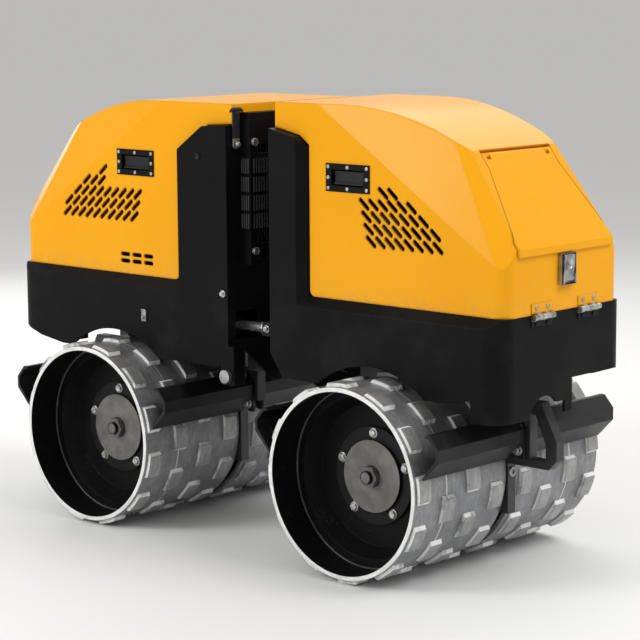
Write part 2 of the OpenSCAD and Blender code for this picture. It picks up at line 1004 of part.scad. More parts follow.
module steering_rod() {
    pin_at = barrel_pin_x + rod_pin_x;
    gland_face = barrel_start + barrel_l - gland_t;
    piston_x = gland_face - piston_t - rod_stroke;
    fork_start = pin_at - fork_throat;
    color(CHROME)
        at_cylinder() {
            bar_x(bore_r - run_fit, piston_x, piston_t);
            bar_x(rod_r, piston_x, fork_start - piston_x + over);
            for (z = [fork_gap, -fork_gap - cheek_t])
                translate([0, 0, z]) {
                    translate([pin_at, 0, 0])
                        cylinder(r = fork_r, h = cheek_t);
                    translate([fork_start, -fork_r, 0])
                        cube([pin_at - fork_start, 2 * fork_r, cheek_t]);
                }
            translate([fork_start, -fork_r, -fork_gap - cheek_t])
                cube([fork_back, 2 * fork_r, 2 * fork_gap + 2 * cheek_t]);
            translate([pin_at, 0, -fork_gap - cheek_t])
                cylinder(d = rod_pin_d, h = 2 * fork_gap + 2 * cheek_t);
        }
}

// Hoods: a pressed shell with a long arced top, wide side bevels and a sloping end

bevel_p = [306, hood_half, 1260];
bevel_n = [0.181, 0.943, 0.278];
band_in = 50;
band_p = [slope_end_x, hood_half - band_in, slope_end_z];
band_n = [0.474, 0.774, 0.420];
slope_n = [slope_top_z - slope_end_z, slope_end_x - slope_top_x];
slope_deg = atan2(slope_n[1], slope_n[0]);
slope_l = norm(slope_n);
flap_channel = 13;
flap_pin_r = 4;
flap_knuckle_r = flap_t / 2;
flap_half_low = 205;
flap_half_high = 150;
flap_straight = 45;

// Radius of the long arc, which runs from the flat top down to the sloping end panel
function arc_r(front) = (pow(slope_top_x - hood_arc_x, 2) + pow(top_z(front) - slope_top_z, 2))
                        / (2 * (top_z(front) - slope_top_z));

// Slope coordinates in x and z: x runs outwards and y runs up along the slope from its lower edge
module at_slope() {
    translate([slope_end_x, slope_end_z])
        rotate(slope_deg)
            children();
}

// Slope coordinates in space: x runs outwards and z runs up along the slope from its lower edge
module on_slope() {
    translate([slope_end_x, 0, slope_end_z])
        rotate([0, -slope_deg, 0])
            children();
}

// The access flap's hinge line
module at_flap_pivot() {
    on_slope()
        translate([-flap_knuckle_r, 0, slope_l - flap_channel])
            children();
}

// Outline of the access flap's pocket on the slope, drawn inwards by gap
module flap_outline_2d(gap) {
    low = flap_half_low - gap;
    high = flap_half_high - gap;
    taper_z = slope_l - flap_channel - flap_straight;
    polygon([
        [-low, -slope_l],
        [low, -slope_l],
        [low, 0],
        [high, taper_z],
        [high, slope_l - gap],
        [-high, slope_l - gap],
        [-high, taper_z],
        [-low, 0]
    ]);
}

// The hood's side in x and z, drawn inwards by t
module hood_side_2d(front, t, low) {
    in_x = inner_x(front) + t;
    high = top_z(front) - t;
    intersection() {
        translate([in_x, low])
            square([body_half_l - t - in_x, high - low]);
        union() {
            translate([in_x, low])
                square([hood_arc_x - in_x, high - low]);
            translate([hood_arc_x, top_z(front) - arc_r(front)])
                circle(r = arc_r(front) - t, $fn = 180);
        }
        at_slope()
            translate([-far_len - t, -far_len / 2])
                square(far_len);
    }
}

// The hood's outer form, drawn inwards by t
module hood_form(front, t, low) {
    in_x = inner_x(front);
    corner = hood_corner_r - t;
    side = hood_half - t;
    end_x = body_half_l - t;
    difference() {
        intersection() {
            across(2 * side)
                hood_side_2d(front, t, low);
            translate([0, 0, low])
                linear_extrude(hood_top_z)
                    union() {
                        translate([in_x, -side])
                            square([end_x - in_x - corner, 2 * side]);
                        translate([in_x, -side + corner])
                            square([end_x - in_x, 2 * side - 2 * corner]);
                        for (y = [-1, 1])
                            translate([end_x - corner, y * (side - corner)])
                                circle(r = corner);
                    }
        }
        both_sides() {
            beyond(bevel_p, bevel_n, t);
            beyond(band_p, band_n, t);
        }
    }
}

// Louvre slots in rows that follow the bevel, as counts and first places for each unit
vent_low_z = 905;
rear_vent_rise = 5;
front_vent_rows = [[8, 487], [8, 479], [7, 471], [6, 463], [2, 530]];
rear_vent_rows = [[10, 440], [10, 432], [9, 424], [3, 581], [1, 573]];
small_slot_l = 40;
small_slot_w = 12;
small_slot_x = 382;
small_slot_z = 776;
small_slot_pitch_x = 50;
small_slot_pitch_z = 20;

module vents_2d(front) {
    rows = front ? front_vent_rows : rear_vent_rows;
    low = vent_low_z + (front ? 0 : rear_vent_rise);
    for (r = [0 : len(rows) - 1], i = [0 : rows[r][0] - 1])
        translate([rows[r][1] + i * vent_pitch, low + r * vent_row])
            rotate(-vent_tilt)
                slot_2d(vent_l, vent_w);
    if (!front)
        for (i = [0 : 2], k = [0 : 1])
            translate([small_slot_x + i * small_slot_pitch_x, small_slot_z + k * small_slot_pitch_z])
                slot_2d(small_slot_l, small_slot_w);
}

tower_gap = 3;
foot_r = 18;
handle_x = 406;
rear_handle_x = 430;
handle_mid_z = 1070;
handle_l = 156;
handle_h = 76;
dish_l = 116;
dish_h = 44;
dish_wall = 3;
dish_depth = 24;

function handle_mid_x(front) = front ? handle_x : rear_handle_x;

hinge_mid_y = 101;
hinge_w = 88;
hinge_r = 8;
hinge_pin_r = 4;
hinge_z = 733;
hinge_x = body_half_l + hinge_r + over;
hinge_leaf_t = 3;
hinge_leaf_h = 26;
hinge_bolt_pitch = 48;
hinge_bolt_r = 6;
hinge_bolt_h = 3;
knuckles = 5;
access_half = 118;
access_edge = 34;

flap_boss_w = 14;
notch_w = flap_boss_w + 2 * side_play;

module hood(front) {
    in_x = inner_x(front);
    out_x = outer_x(front) + tower_gap;
    edge_z = front ? front_edge_z : rear_edge_z;
    mid_x = handle_mid_x(front);
    color(PAINT_YELLOW)
        difference() {
            union() {
                difference() {
                    hood_form(front, 0, hood_low_z);
                    difference() {
                        hood_form(front, hood_t, hood_low_z - over);
                        on_slope()
                            slab_x(-flap_t - hood_t, 4 * flap_t)
                                flap_outline_2d(-hood_t);
                    }
                    // The pocket of the access flap
                    on_slope()
                        slab_x(-flap_t, 4 * flap_t)
                            flap_outline_2d(0);
                    across(2 * frame_w)
                        union() {
                            vents_2d(front);
                            translate([mid_x - dish_l / 2 - dish_wall, handle_mid_z - dish_h / 2 - dish_wall])
                                square([dish_l + 2 * dish_wall, dish_h + 2 * dish_wall]);
                        }
                }
                hood_flap_ears();
                hood_knuckles();
            }
            across(2 * frame_w)
                union() {
                    polygon([
                        [in_x - over, frame_top_z - over],
                        [in_x - over, tower_z + tower_gap],
                        [in_x, tower_z + tower_gap],
                        [front ? front_shoulder_x : rear_shoulder_x,
                         (front ? front_shoulder_z : rear_shoulder_z) + tower_gap],
                        [out_x, edge_z + tower_gap],
                        [out_x, frame_top_z - over]
                    ]);
                    // The rounded foot beside the tower
                    translate([out_x, hood_low_z])
                        difference() {
                            translate([-over, -over])
                                square(foot_r + over);
                            translate([foot_r, foot_r])
                                circle(r = foot_r);
                        }
                }
            // The way in under the access flap
            at_flap_pivot()
                translate([-flap_knuckle_r - 2 * hood_t, -access_half,
                           flap_channel + access_edge - slope_l])
                    cube([2 * hood_t + over, 2 * access_half,
                          slope_l - flap_channel - 2 * access_edge]);
            at_flap_pivot()
                bar_y(flap_pin_r + run_fit, -access_half - notch_w, 2 * (access_half + notch_w));
        }
}

// Two ears on the hood that hold the access flap's pin
module hood_flap_ears() {
    both_sides()
        at_flap_pivot() {
            bar_y(flap_knuckle_r, access_half + side_play, flap_boss_w);
            translate([-flap_knuckle_r - hood_t / 2, access_half + side_play, -flap_knuckle_r])
                cube([flap_knuckle_r + hood_t / 2, flap_boss_w, 2 * flap_knuckle_r]);
        }
}

// Access flaps: a bevelled panel that closes the sloping end and swings up on its top edge
flap_gap = 2;
lip_proud = 8;
lip_z = 893;
lip_root_z = 901;

module flap() {
    lip_x = body_half_l + lip_proud;
    color(PAINT_YELLOW)
        difference() {
            intersection() {
                union() {
                    intersection() {
                        hood_form(true, 0, lip_z);
                        across(hood_w)
                            at_slope()
                                translate([-flap_t + seat, -slope_l])
                                    square([2 * flap_t, 2 * slope_l - flap_channel]);
                    }
                    // The lip in front of the end wall
                    across(2 * flap_half_low)
                        polygon([
                            [body_half_l + seat, lip_z],
                            [lip_x, lip_z],
                            [lip_x, slope_end_z - (lip_x - slope_end_x) * slope_n[0] / slope_n[1]],
                            [slope_end_x, slope_end_z],
                            [slope_end_x - flap_t / 2, slope_end_z],
                            [body_half_l + seat, lip_root_z]
                        ]);
                    // The rolled hinge edge along the top
                    at_flap_pivot()
                        bar_y(flap_knuckle_r - seat, -hood_half, hood_w);
                }
                on_slope()
                    slab_x(-2 * flap_t, 8 * flap_t)
                        flap_outline_2d(flap_gap);
            }
            both_sides()
                at_flap_pivot()
                    translate([-2 * flap_knuckle_r, access_half, -2 * flap_knuckle_r])
                        cube([4 * flap_knuckle_r, notch_w, 4 * flap_knuckle_r]);
        }
    color(PAINT_YELLOW)
        at_flap_pivot()
            bar_y(flap_pin_r, -access_half - notch_w - over, 2 * (access_half + notch_w + over));
}

// Hood hinges: leaves on the end plate and on the hood, with split knuckles round one pin

module knuckle_row(first) {
    w = hinge_w / knuckles;
    for (k = [first : 2 : knuckles - 1])
        translate([0, k * w + side_play / 2, 0])
            children();
}

module hinge_set() {
    w = hinge_w / knuckles;
    color(STEEL_GREY)
        for (y = hinge_mid_y * [-1, 1])
            translate([0, y - hinge_w / 2, 0]) {
                translate([body_half_l, 0, hinge_z - hinge_leaf_h])
                    cube([hinge_leaf_t, hinge_w, hinge_leaf_h - hinge_r]);
                knuckle_row(0) {
                    translate([hinge_x, 0, hinge_z])
                        bar_y(hinge_r, 0, w - side_play);
                    translate([body_half_l, 0, hinge_z - hinge_r - over])
                        cube([hinge_x - body_half_l, w - side_play, hinge_r]);
                }
                translate([hinge_x, 0, hinge_z])
                    bar_y(hinge_pin_r, 0, hinge_w);
                for (dy = [-1, 1])
                    translate([body_half_l + hinge_leaf_t - over,
                               hinge_w / 2 + dy * hinge_bolt_pitch / 2,
                               hinge_z - hinge_leaf_h + hinge_bolt_r])
                        rotate([0, 90, 0])
                            cylinder(r = hinge_bolt_r, h = over + hinge_bolt_h, $fn = 24);
            }
}

module hood_knuckles() {
    w = hinge_w / knuckles;
    for (y = hinge_mid_y * [-1, 1])
        translate([0, y - hinge_w / 2, 0]) {
            translate([body_half_l, 0, hinge_z + hinge_r + over])
                cube([hinge_leaf_t, hinge_w, hinge_leaf_h]);
            knuckle_row(1)
                difference() {
                    union() {
                        translate([hinge_x, 0, hinge_z])
                            bar_y(hinge_r, 0, w - side_play);
                        translate([body_half_l + side_play, 0, hinge_z + side_play])
                            cube([hinge_x - body_half_l - side_play, w - side_play, hinge_r + over]);
                    }
                    translate([hinge_x, -over, hinge_z])
                        bar_y(hinge_pin_r + run_fit, 0, w + over);
                }
            for (dy = [-1, 1])
                translate([body_half_l + hinge_leaf_t - over,
                           hinge_w / 2 + dy * hinge_bolt_pitch / 2,
                           hinge_z + hinge_leaf_h - over])
                    rotate([0, 90, 0])
                        cylinder(r = hinge_bolt_r, h = over + hinge_bolt_h, $fn = 24);
        }
}

// Hood fittings: side handle plates with their troughs, the latch base and the hook's bracket
plate_proud = 3;
screw_r = 5;
screw_in = 9;
paddle_l = 104;
paddle_h = 36;
paddle_t = 5;
paddle_pin_r = 2.5;
paddle_in = 9;
paddle_drop = 7;
paddle_pivot_y = hood_half - paddle_in;
paddle_pivot_z = handle_mid_z + dish_h / 2 - paddle_drop;
latch_w = 56;
latch_low_z = 809;
latch_high_z = 885;
latch_pin_r = 4;
latch_pivot_out = 11;
latch_pivot_up = 12;
latch_pivot_x = body_half_l + latch_pivot_out;
latch_pivot_z = latch_low_z + latch_pivot_up;
ear_t = 5;
hook_in = 8;
hook_y = hood_half - hook_in;
hook_w = 26;
hook_l = 116;
hook_t = 5;
hook_pivot_z = 1142;
hook_pin_r = 5;
hook_off = 3;

module hood_fittings(front) {
    mid_x = handle_mid_x(front);
    in_x = inner_x(front);
    pin_l = dish_l + 2 * dish_wall;
    color(RUBBER) {
        both_sides()
            difference() {
                union() {
                    translate([mid_x - handle_l / 2, hood_half, handle_mid_z - handle_h / 2])
                        cube([handle_l, plate_proud, handle_h]);
                    translate([mid_x - pin_l / 2, hood_half - dish_depth,
                               handle_mid_z - dish_h / 2 - dish_wall])
                        cube([pin_l, dish_depth + over, dish_h + 2 * dish_wall]);
                    for (k = [-1 : 1], m = [-1 : 1])
                        if (k != 0 || m != 0)
                            translate([mid_x + k * (handle_l / 2 - screw_in), hood_half,
                                       handle_mid_z + m * (handle_h / 2 - screw_in)])
                                bar_y(screw_r, 0, plate_proud + plate_proud / 2);
                }
                translate([mid_x - dish_l / 2, hood_half - dish_depth + dish_wall,
                           handle_mid_z - dish_h / 2])
                    cube([dish_l, dish_depth + plate_proud + over, dish_h]);
                translate([0, paddle_pivot_y, paddle_pivot_z])
                    bar_x(paddle_pin_r + run_fit, mid_x - dish_l / 2 - dish_wall / 2, dish_l + dish_wall);
            }
        // The latch base and its two ears on the end wall
        for (y = [-latch_w / 2, latch_w / 2 - ear_t])
            difference() {
                translate([body_half_l, y, latch_low_z])
                    cube([hinge_r + 2 * ear_t, ear_t, 2 * (latch_pivot_z - latch_low_z)]);
                translate([latch_pivot_x, y - over, latch_pivot_z])
                    bar_y(latch_pin_r + run_fit, 0, ear_t + 2 * over);
            }
        translate([body_half_l, -latch_w / 2, latch_low_z])
            cube([dish_wall, latch_w, latch_high_z - latch_low_z]);
    }
}

module paddle(front) {
    mid_x = handle_mid_x(front);
    color(PAINT_BLACK)
        translate([mid_x, paddle_pivot_y, paddle_pivot_z]) {
            bar_x(paddle_pin_r, -dish_l / 2 - side_play, dish_l + 2 * side_play);
            translate([-paddle_l / 2, -paddle_t / 2, -paddle_h + paddle_pin_r])
                cube([paddle_l, paddle_t, paddle_h]);
            translate([-paddle_l / 2, -paddle_t / 2, -paddle_h + paddle_pin_r])
                cube([paddle_l, 2 * paddle_t, paddle_t]);
        }
}

module flap_latch() {
    lever_w = latch_w - 2 * ear_t - 2 * side_play;
    color(CHROME) {
        translate([latch_pivot_x, 0, latch_pivot_z])
            bar_y(latch_pin_r, seat - latch_w / 2, latch_w - 2 * seat);
        translate([latch_pivot_x, 0, latch_pivot_z])
            bar_y(latch_pin_r + ear_t / 2, -lever_w / 2, lever_w);
        slab_y(-lever_w / 2, lever_w)
            polygon([
                [latch_pivot_x - ear_t / 2, latch_pivot_z],
                [latch_pivot_x + ear_t / 2, latch_pivot_z],
                [latch_pivot_x + ear_t, latch_high_z - ear_t],
                [latch_pivot_x + ear_t / 2, latch_high_z],
                [latch_pivot_x - ear_t, latch_high_z],
                [latch_pivot_x - ear_t / 2, latch_high_z - 2 * ear_t]
            ]);
    }
}

module hook_pin(front) {
    translate([0, hook_y, hook_pivot_z])
        bar_x(hook_pin_r, inner_x(front) - hook_off - hook_t - seat, hook_off + hook_t + seat + over);
}

module hood_hook(front) {
    color(CHROME)
        translate([inner_x(front) - hook_off - hook_t, hook_y, hook_pivot_z])
            difference() {
                union() {
                    rotate([90, 0, 90])
                        linear_extrude(hook_t)
                            translate([0, (hook_l - hook_w) / 2])
                                rotate(90)
                                    slot_2d(hook_l, hook_w);
                    translate([0, 0, hook_l - hook_w])
                        bar_x(hook_w / 3, -hook_t, 2 * hook_t);
                }
                bar_x(hook_pin_r + run_fit, -hook_t - over, 2 * hook_t + 2 * over);
            }
}

// Inside the rear hood: cooler, fan, engine and what hangs on it
cooler_x = 96;
guard_z = [800, 1140, 1230];
guard_depth = 40;
guard_bars = 8;
guard_bar_h = 18;
guard_fin_t = 3;
guard_fin_pitch = 24;
guard_side = 56;
guard_y = frame_half - guard_side;
cooler_rows = 22;

module cooler() {
    wall_x = rear_in_x + plate_t;
    row = (cooler_high_z - guard_z[0] - 2 * plate_t) / cooler_rows;
    color(CAST)
        difference() {
            translate([wall_x, -cooler_half_y - plate_t, guard_z[0]])
                cube([cooler_x - wall_x + 3 * plate_t, 2 * (cooler_half_y + plate_t),
                      cooler_high_z - guard_z[0]]);
            translate([0, 0, fan_z])
                bar_x(fan_r + 2 * plate_t, cooler_x, 4 * plate_t);
            for (i = [0 : cooler_rows - 1])
                translate([wall_x - over, -cooler_half_y, guard_z[0] + plate_t + i * row])
                    cube([cooler_x - wall_x - plate_t, 2 * cooler_half_y, row - plate_t / 2]);
        }
}

module cooler_guard() {
    pitch = (guard_z[1] - guard_z[0]) / guard_bars;
    out_x = rear_in_x - guard_depth;
    color(PAINT_BLACK) {
        difference() {
            translate([out_x, -guard_y, guard_z[0]])
                cube([guard_depth, 2 * guard_y, guard_z[2] - guard_z[0]]);
            translate([out_x + plate_t, plate_t - guard_y, guard_z[0] + plate_t])
                cube([guard_depth, 2 * guard_y - 2 * plate_t, guard_z[2] - guard_z[0] - 2 * plate_t]);
            for (i = [0 : guard_bars - 1])
                translate([out_x - over, 4 * plate_t - guard_y, guard_z[0] + guard_bar_h + i * pitch])
                    cube([guard_depth / 2, 2 * guard_y - 8 * plate_t, pitch - guard_bar_h]);
            translate([rear_in_x - over, -guard_y - over, tower_z - over])
                cube([2 * over, 2 * guard_y + 2 * over, guard_z[2] - tower_z + 2 * over]);
        }
        for (y = [guard_fin_pitch - guard_y : guard_fin_pitch : guard_y - guard_fin_pitch])
            translate([out_x + plate_t - over, y, guard_z[0] + plate_t / 2])
                cube([plate_t, guard_fin_t, guard_z[1] - guard_z[0]]);
        for (y = (guard_y - 2 * plate_t) * [-1, 1], z = [guard_z[1] + plate_t, guard_z[0] + guard_depth])
            translate([0, y, z])
                bar_x(bolt_head_r, out_x - bolt_head_h, bolt_head_h + over);
    }
}

fan_x = 128;
fan_z = 983;
fan_r = 156;
fan_blades = 7;
fan_hub_r = 44;
fan_w = 30;
blade_tilt = 32;
blade_t = 4;
fan_shaft_r = 14;
engine_end_in = 382;
engine_x = [200, body_half_l - engine_end_in];
engine_y = 130;
engine_z = [640, 900];
foot_w = 50;
sump_gap = 6;
head_y = 100;
head_z = 1010;
cover_y = 60;
cover_z = 1050;

module cooling_fan() {
    color(CAST)
        translate([0, 0, fan_z]) {
            difference() {
                bar_x(fan_hub_r, fan_x, fan_w);
                bar_x(fan_shaft_r + run_fit, fan_x - over, fan_w + 2 * over);
            }
            for (i = [0 : fan_blades - 1])
                rotate([i * 360 / fan_blades, 0, 0])
                    translate([fan_x + fan_w / 2, 0, (fan_hub_r + fan_r) / 2])
                        rotate([0, 0, blade_tilt])
                            cube([blade_t, fan_w, fan_r - fan_hub_r + 2 * blade_t], center = true);
        }
}

module engine_block() {
    length = engine_x[1] - engine_x[0];
    color(CAST) {
        translate([engine_x[0], -engine_y, engine_z[0]])
            cube([length, 2 * engine_y, engine_z[1] - engine_z[0]]);
        for (x = [engine_x[0], engine_x[1] - foot_w], y = [-engine_y, engine_y - foot_w])
            translate([x, y, floor_top_z])
                cube([foot_w, foot_w, engine_z[0] - floor_top_z + over]);
        translate([0, 0, engine_z[0]])
            bar_x(engine_z[0] - floor_top_z - sump_gap, engine_x[0] + foot_w, length - 2 * foot_w);
        translate([0, 0, fan_z]) {
            bar_x(fan_shaft_r, fan_x, engine_x[0] - seat - fan_x);
            bar_x(fan_hub_r - fan_shaft_r, fan_x + fan_w + side_play, fan_shaft_r);
        }
        translate([engine_x[0] - fan_shaft_r, -fan_shaft_r, engine_z[1] - foot_w])
            cube([fan_shaft_r - seat, 2 * fan_shaft_r, fan_z - engine_z[1] + foot_w]);
        translate([engine_x[0] - fan_shaft_r, -fan_shaft_r, engine_z[1] - foot_w])
            cube([2 * fan_shaft_r, 2 * fan_shaft_r, foot_w - over]);
    }
}

module cylinder_head() {
    color(STEEL_GREY) {
        translate([engine_x[0], -head_y, engine_z[1]])
            cube([engine_x[1] - engine_x[0], 2 * head_y, head_z - engine_z[1]]);
        translate([engine_x[0] + foot_w / 2, -cover_y, head_z - over])
            cube([engine_x[1] - engine_x[0] - foot_w, 2 * cover_y, cover_z - head_z + over]);
    }
}

pump_r = 62;
pump_l = 90;
pump_end_r = 48;
pump_z = 740;

module hydraulic_pump() {
    color(CAST)
        translate([0, 0, pump_z]) {
            bar_x(pump_r + plate_t, engine_x[1], 2 * plate_t);
            bar_x(pump_r, engine_x[1], pump_l);
            bar_x(pump_end_r, engine_x[1] + pump_l - over, pump_l / 2);
        }
}

can_side = 88;
can_y = hood_half - can_side;
can_z = 1078;
muffler_r = 55;
filter_r = 60;
can_end_in = 30;
can_x = [290, engine_x[1] - can_end_in];
can_bracket = 60;

module muffler() {
    color(STEEL_GREY) {
        translate([0, can_y, can_z])
            bar_x(muffler_r, can_x[0], can_x[1] - can_x[0]);
        translate([can_x[0] + can_bracket, head_y, head_z - can_bracket])
            cube([2 * can_bracket, can_y - head_y, can_z - head_z + can_bracket]);
    }
}

module air_filter() {
    color(RUBBER) {
        translate([0, -can_y, can_z])
            bar_x(filter_r, can_x[0], can_x[1] - can_x[0] - can_bracket);
        translate([can_x[0] + can_bracket, -can_y, head_z - can_bracket])
            cube([can_bracket, can_y - head_y, can_z - head_z + can_bracket]);
    }
}

battery_end_in = 52;
battery_l = 170;
battery_x = [body_half_l - battery_end_in - battery_l, body_half_l - battery_end_in];
battery_y = 125;
battery_h = 190;
post_r = 9;

module battery() {
    color(RUBBER) {
        translate([battery_x[0], -battery_y, floor_top_z])
            cube([battery_x[1] - battery_x[0], 2 * battery_y, battery_h]);
        for (y = battery_y / 2 * [-1, 1])
            translate([battery_x[0] + 3 * post_r, y, floor_top_z + battery_h - over])
                cylinder(r = post_r, h = 2 * post_r);
    }
}

// Inside the front hood: the tanks, their caps and the valve block
fuel_end_in = 362;
fuel_x = [272, body_half_l - fuel_end_in];
oil_end_in = 37;
tank_gap = 20;
oil_x = [fuel_x[1] + tank_gap, body_half_l - oil_end_in];
tank_side = 25;
tank_y = hood_half - tank_side;
fuel_h = 400;
oil_h = 300;
neck_r = 30;
neck_h = 30;
cap_skirt = 7;
cap_h = 26;
valve_x = [160, 250];
valve_side = 15;
valve_y = [100, hood_half - valve_side];
valve_h = 110;
spool_r = 13;

module tank(x, high) {
    translate([x[0], -tank_y, floor_top_z])
        cube([x[1] - x[0], 2 * tank_y, high]);
    translate([(x[0] + x[1]) / 2, 0, floor_top_z + high - over])
        cylinder(r = neck_r, h = neck_h + over);
}

module fuel_tank() {
    color(RUBBER)
        tank(fuel_x, fuel_h);
}

module hydraulic_tank() {
    color(PAINT_BLACK)
        tank(oil_x, oil_h);
}

module cap(x, high) {
    color(RUBBER)
        translate([(x[0] + x[1]) / 2, 0, floor_top_z + high + neck_h - cap_h + cap_skirt])
            difference() {
                cylinder(r = neck_r + cap_skirt, h = cap_h);
                translate([0, 0, -over])
                    cylinder(r = neck_r + run_fit, h = cap_h - cap_skirt + over);
            }
}

module valve_block() {
    color(CAST) {
        translate([valve_x[0], valve_y[0], floor_top_z])
            cube([valve_x[1] - valve_x[0], valve_y[1] - valve_y[0], valve_h]);
        for (y = [valve_y[0] + 2 * spool_r : 3 * spool_r : valve_y[1] - spool_r])
            translate([(valve_x[0] + valve_x[1]) / 2, y, floor_top_z + valve_h - over])
                cylinder(r = spool_r, h = 2 * spool_r);
    }
}

// First pad angles of each drum half and the turn of the hub bolts, as the machine stands
rear_right_phase = 14;
rear_left_phase = -7;
front_right_phase = 4;
front_left_phase = 8;

rear_frame();
unit(false) carrier();  // rear_carrier
unit(false) axle_housing();  // rear_axle_housing
unit(false) bearing_set();  // rear_bearings
unit(false) scraper_set();  // rear_scrapers
unit(false) hinge_set();  // rear_hinges
unit(false) engine_block();
unit(false) cylinder_head();
unit(false) hydraulic_pump();
unit(false) cooler();
unit(false) cooler_guard();
unit(false) muffler();
unit(false) air_filter();
unit(false) battery();
lock_pin();
steering_barrel();
steering_rod();
unit(false) cooling_fan();
unit(false) hood(false);  // rear_hood
unit(false) hood_fittings(false);  // rear_hood_fittings
unit(false) paddle(false);  // rear_paddle_left
unit(false) half(false) paddle(false);  // rear_paddle_right
unit(false) flap();  // rear_flap
unit(false) flap_latch();  // rear_flap_latch
unit(false) half(false) hood_hook(false);  // rear_hood_hook
unit(false) drum(true, rear_left_phase);  // rear_drum_left
unit(false) drum(false, rear_right_phase);  // rear_drum_right
drum(true, front_left_phase);  // front_drum_left
drum(false, front_right_phase);  // front_drum_right
unit(false) hub(true);  // rear_hub_left
unit(false) hub(false);  // rear_hub_right
hub(true);  // front_hub_left
hub(false);  // front_hub_right
unit(false) hub_bolt_set(true);  // rear_hub_bolts_left
unit(false) hub_bolt_set(false);  // rear_hub_bolts_right
hub_bolt_set(true);  // front_hub_bolts_left
hub_bolt_set(false);  // front_hub_bolts_right
unit(false) exciter_shaft();  // rear_exciter_shaft
exciter_shaft();  // front_exciter_shaft
joint_yoke();
steering_pin();
front_frame();
carrier();  // front_carrier
axle_housing();  // front_axle_housing
bearing_set();  // front_bearings
scraper_set();  // front_scrapers
hinge_set();  // front_hinges
hydraulic_tank();
fuel_tank();
cap(fuel_x, fuel_h);  // fuel_cap
cap(oil_x, oil_h);  // hydraulic_cap
valve_block();
hood(true);  // front_hood
hood_fittings(true);  // front_hood_fittings
paddle(true);  // front_paddle_left
half(false) paddle(true);  // front_paddle_right
flap();  // front_flap
flap_latch();  // front_flap_latch
hood_hook(true);  // front_hood_hook
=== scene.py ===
# %% [markdown]
# # A tandem trench roller, dressed for its portrait
#
# This lesson dresses a finished construction model of an articulated trench roller: two units under
# yellow hoods, four padded steel drums, black frames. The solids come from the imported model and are
# never moved. What is added here is what a solid model leaves out: paint, wear, cast and rolled
# steel, small hardware, a floor, light and a camera. Both units and both sides of the machine are
# alike, so most steps loop over two short tables that give each its sign on the X or Y axis.
#
# Lengths are in metres. The machine stands on z = 0, points along +X and has its left side on +Y.

import math

import bpy
from mathutils import Matrix, Vector


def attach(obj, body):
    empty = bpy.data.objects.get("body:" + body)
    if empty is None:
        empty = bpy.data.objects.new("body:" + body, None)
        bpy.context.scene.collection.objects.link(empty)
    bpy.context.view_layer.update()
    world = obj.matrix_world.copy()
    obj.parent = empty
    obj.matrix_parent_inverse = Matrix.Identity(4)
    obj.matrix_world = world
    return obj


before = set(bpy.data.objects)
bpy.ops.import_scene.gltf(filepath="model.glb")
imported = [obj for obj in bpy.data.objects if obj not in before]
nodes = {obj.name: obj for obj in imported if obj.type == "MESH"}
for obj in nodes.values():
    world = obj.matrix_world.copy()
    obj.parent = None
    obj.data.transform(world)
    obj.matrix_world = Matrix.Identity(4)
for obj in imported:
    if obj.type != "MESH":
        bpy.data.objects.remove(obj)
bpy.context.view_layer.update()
UNITS = (("rear", -1), ("front", 1))
SIDES = (("right", -1), ("left", 1))

# %% [markdown]
# ## Where the camera stands
#
# The photograph was taken from in front and to the right of the machine with a long lens, so the
# machine shows little perspective. The camera's place was worked out from the drum ends: each is a
# circle, and a circle's picture tells from where it was seen. A matrix built from the three viewing
# directions keeps the small roll of the handheld shot exactly.

# %% Camera
AZIMUTH = math.radians(42.646)
ELEVATION = math.radians(8.796)
ROLL = math.radians(-0.372)
CAMERA_PLACE = Vector((4.3414, -4.6370, 1.5986))
LENS_MM = 124.02
SENSOR_MM = 36

back = Vector((
    math.sin(AZIMUTH) * math.cos(ELEVATION),
    -math.cos(AZIMUTH) * math.cos(ELEVATION),
    math.sin(ELEVATION),
))
right = Vector((0, 0, 1)).cross(back).normalized()
up = back.cross(right)
right_rolled = right * math.cos(ROLL) + up * math.sin(ROLL)
up_rolled = up * math.cos(ROLL) - right * math.sin(ROLL)

camera_data = bpy.data.cameras.new("portrait_camera")
camera_data.lens = LENS_MM
camera_data.sensor_width = SENSOR_MM
camera_data.clip_start = 0.1
camera_data.clip_end = 500
camera = bpy.data.objects.new("portrait_camera", camera_data)
bpy.context.scene.collection.objects.link(camera)
place = Matrix((right_rolled, up_rolled, back)).transposed().to_4x4()
place.translation = CAMERA_PLACE
camera.matrix_world = place
bpy.context.scene.camera = camera
bpy.context.scene.view_settings.view_transform = "Standard"
print("camera at", [round(v, 3) for v in place.translation])

# %% [markdown]
# ## Floor and light
#
# A studio shot of a big painted machine is lit by large soft sources, because paint and bare steel
# show every small lamp as a hard spot. One large panel stands on the camera's left, a second one
# looks down from high on the right, a long one hangs behind the hoods for their top edges, a weak
# one lights the rear end, and a pale world closes the reflections. The panels are dimmed in gloss,
# so that they don't mirror in the black plates. The floor is a plain pale sheet that reaches to the
# horizon. The standard view keeps the saturated hood yellow that a film-like view would wash out.

# %% Floor
FLOOR_SIZE = 900
FLOOR_TONE = (0.80, 0.80, 0.80, 1)
bpy.ops.object.select_all(action="DESELECT")
bpy.ops.mesh.primitive_plane_add(size=FLOOR_SIZE, location=(0, 0, 0))
floor = bpy.context.object
floor.name = "floor"
floor_paint = bpy.data.materials.new("pale_floor")
floor_paint.use_nodes = True
floor_shader = floor_paint.node_tree.nodes["Principled BSDF"]
floor_shader.inputs["Base Color"].default_value = FLOOR_TONE
floor_shader.inputs["Roughness"].default_value = 0.75
floor.data.materials.append(floor_paint)
print("floor:", FLOOR_SIZE, "m wide")

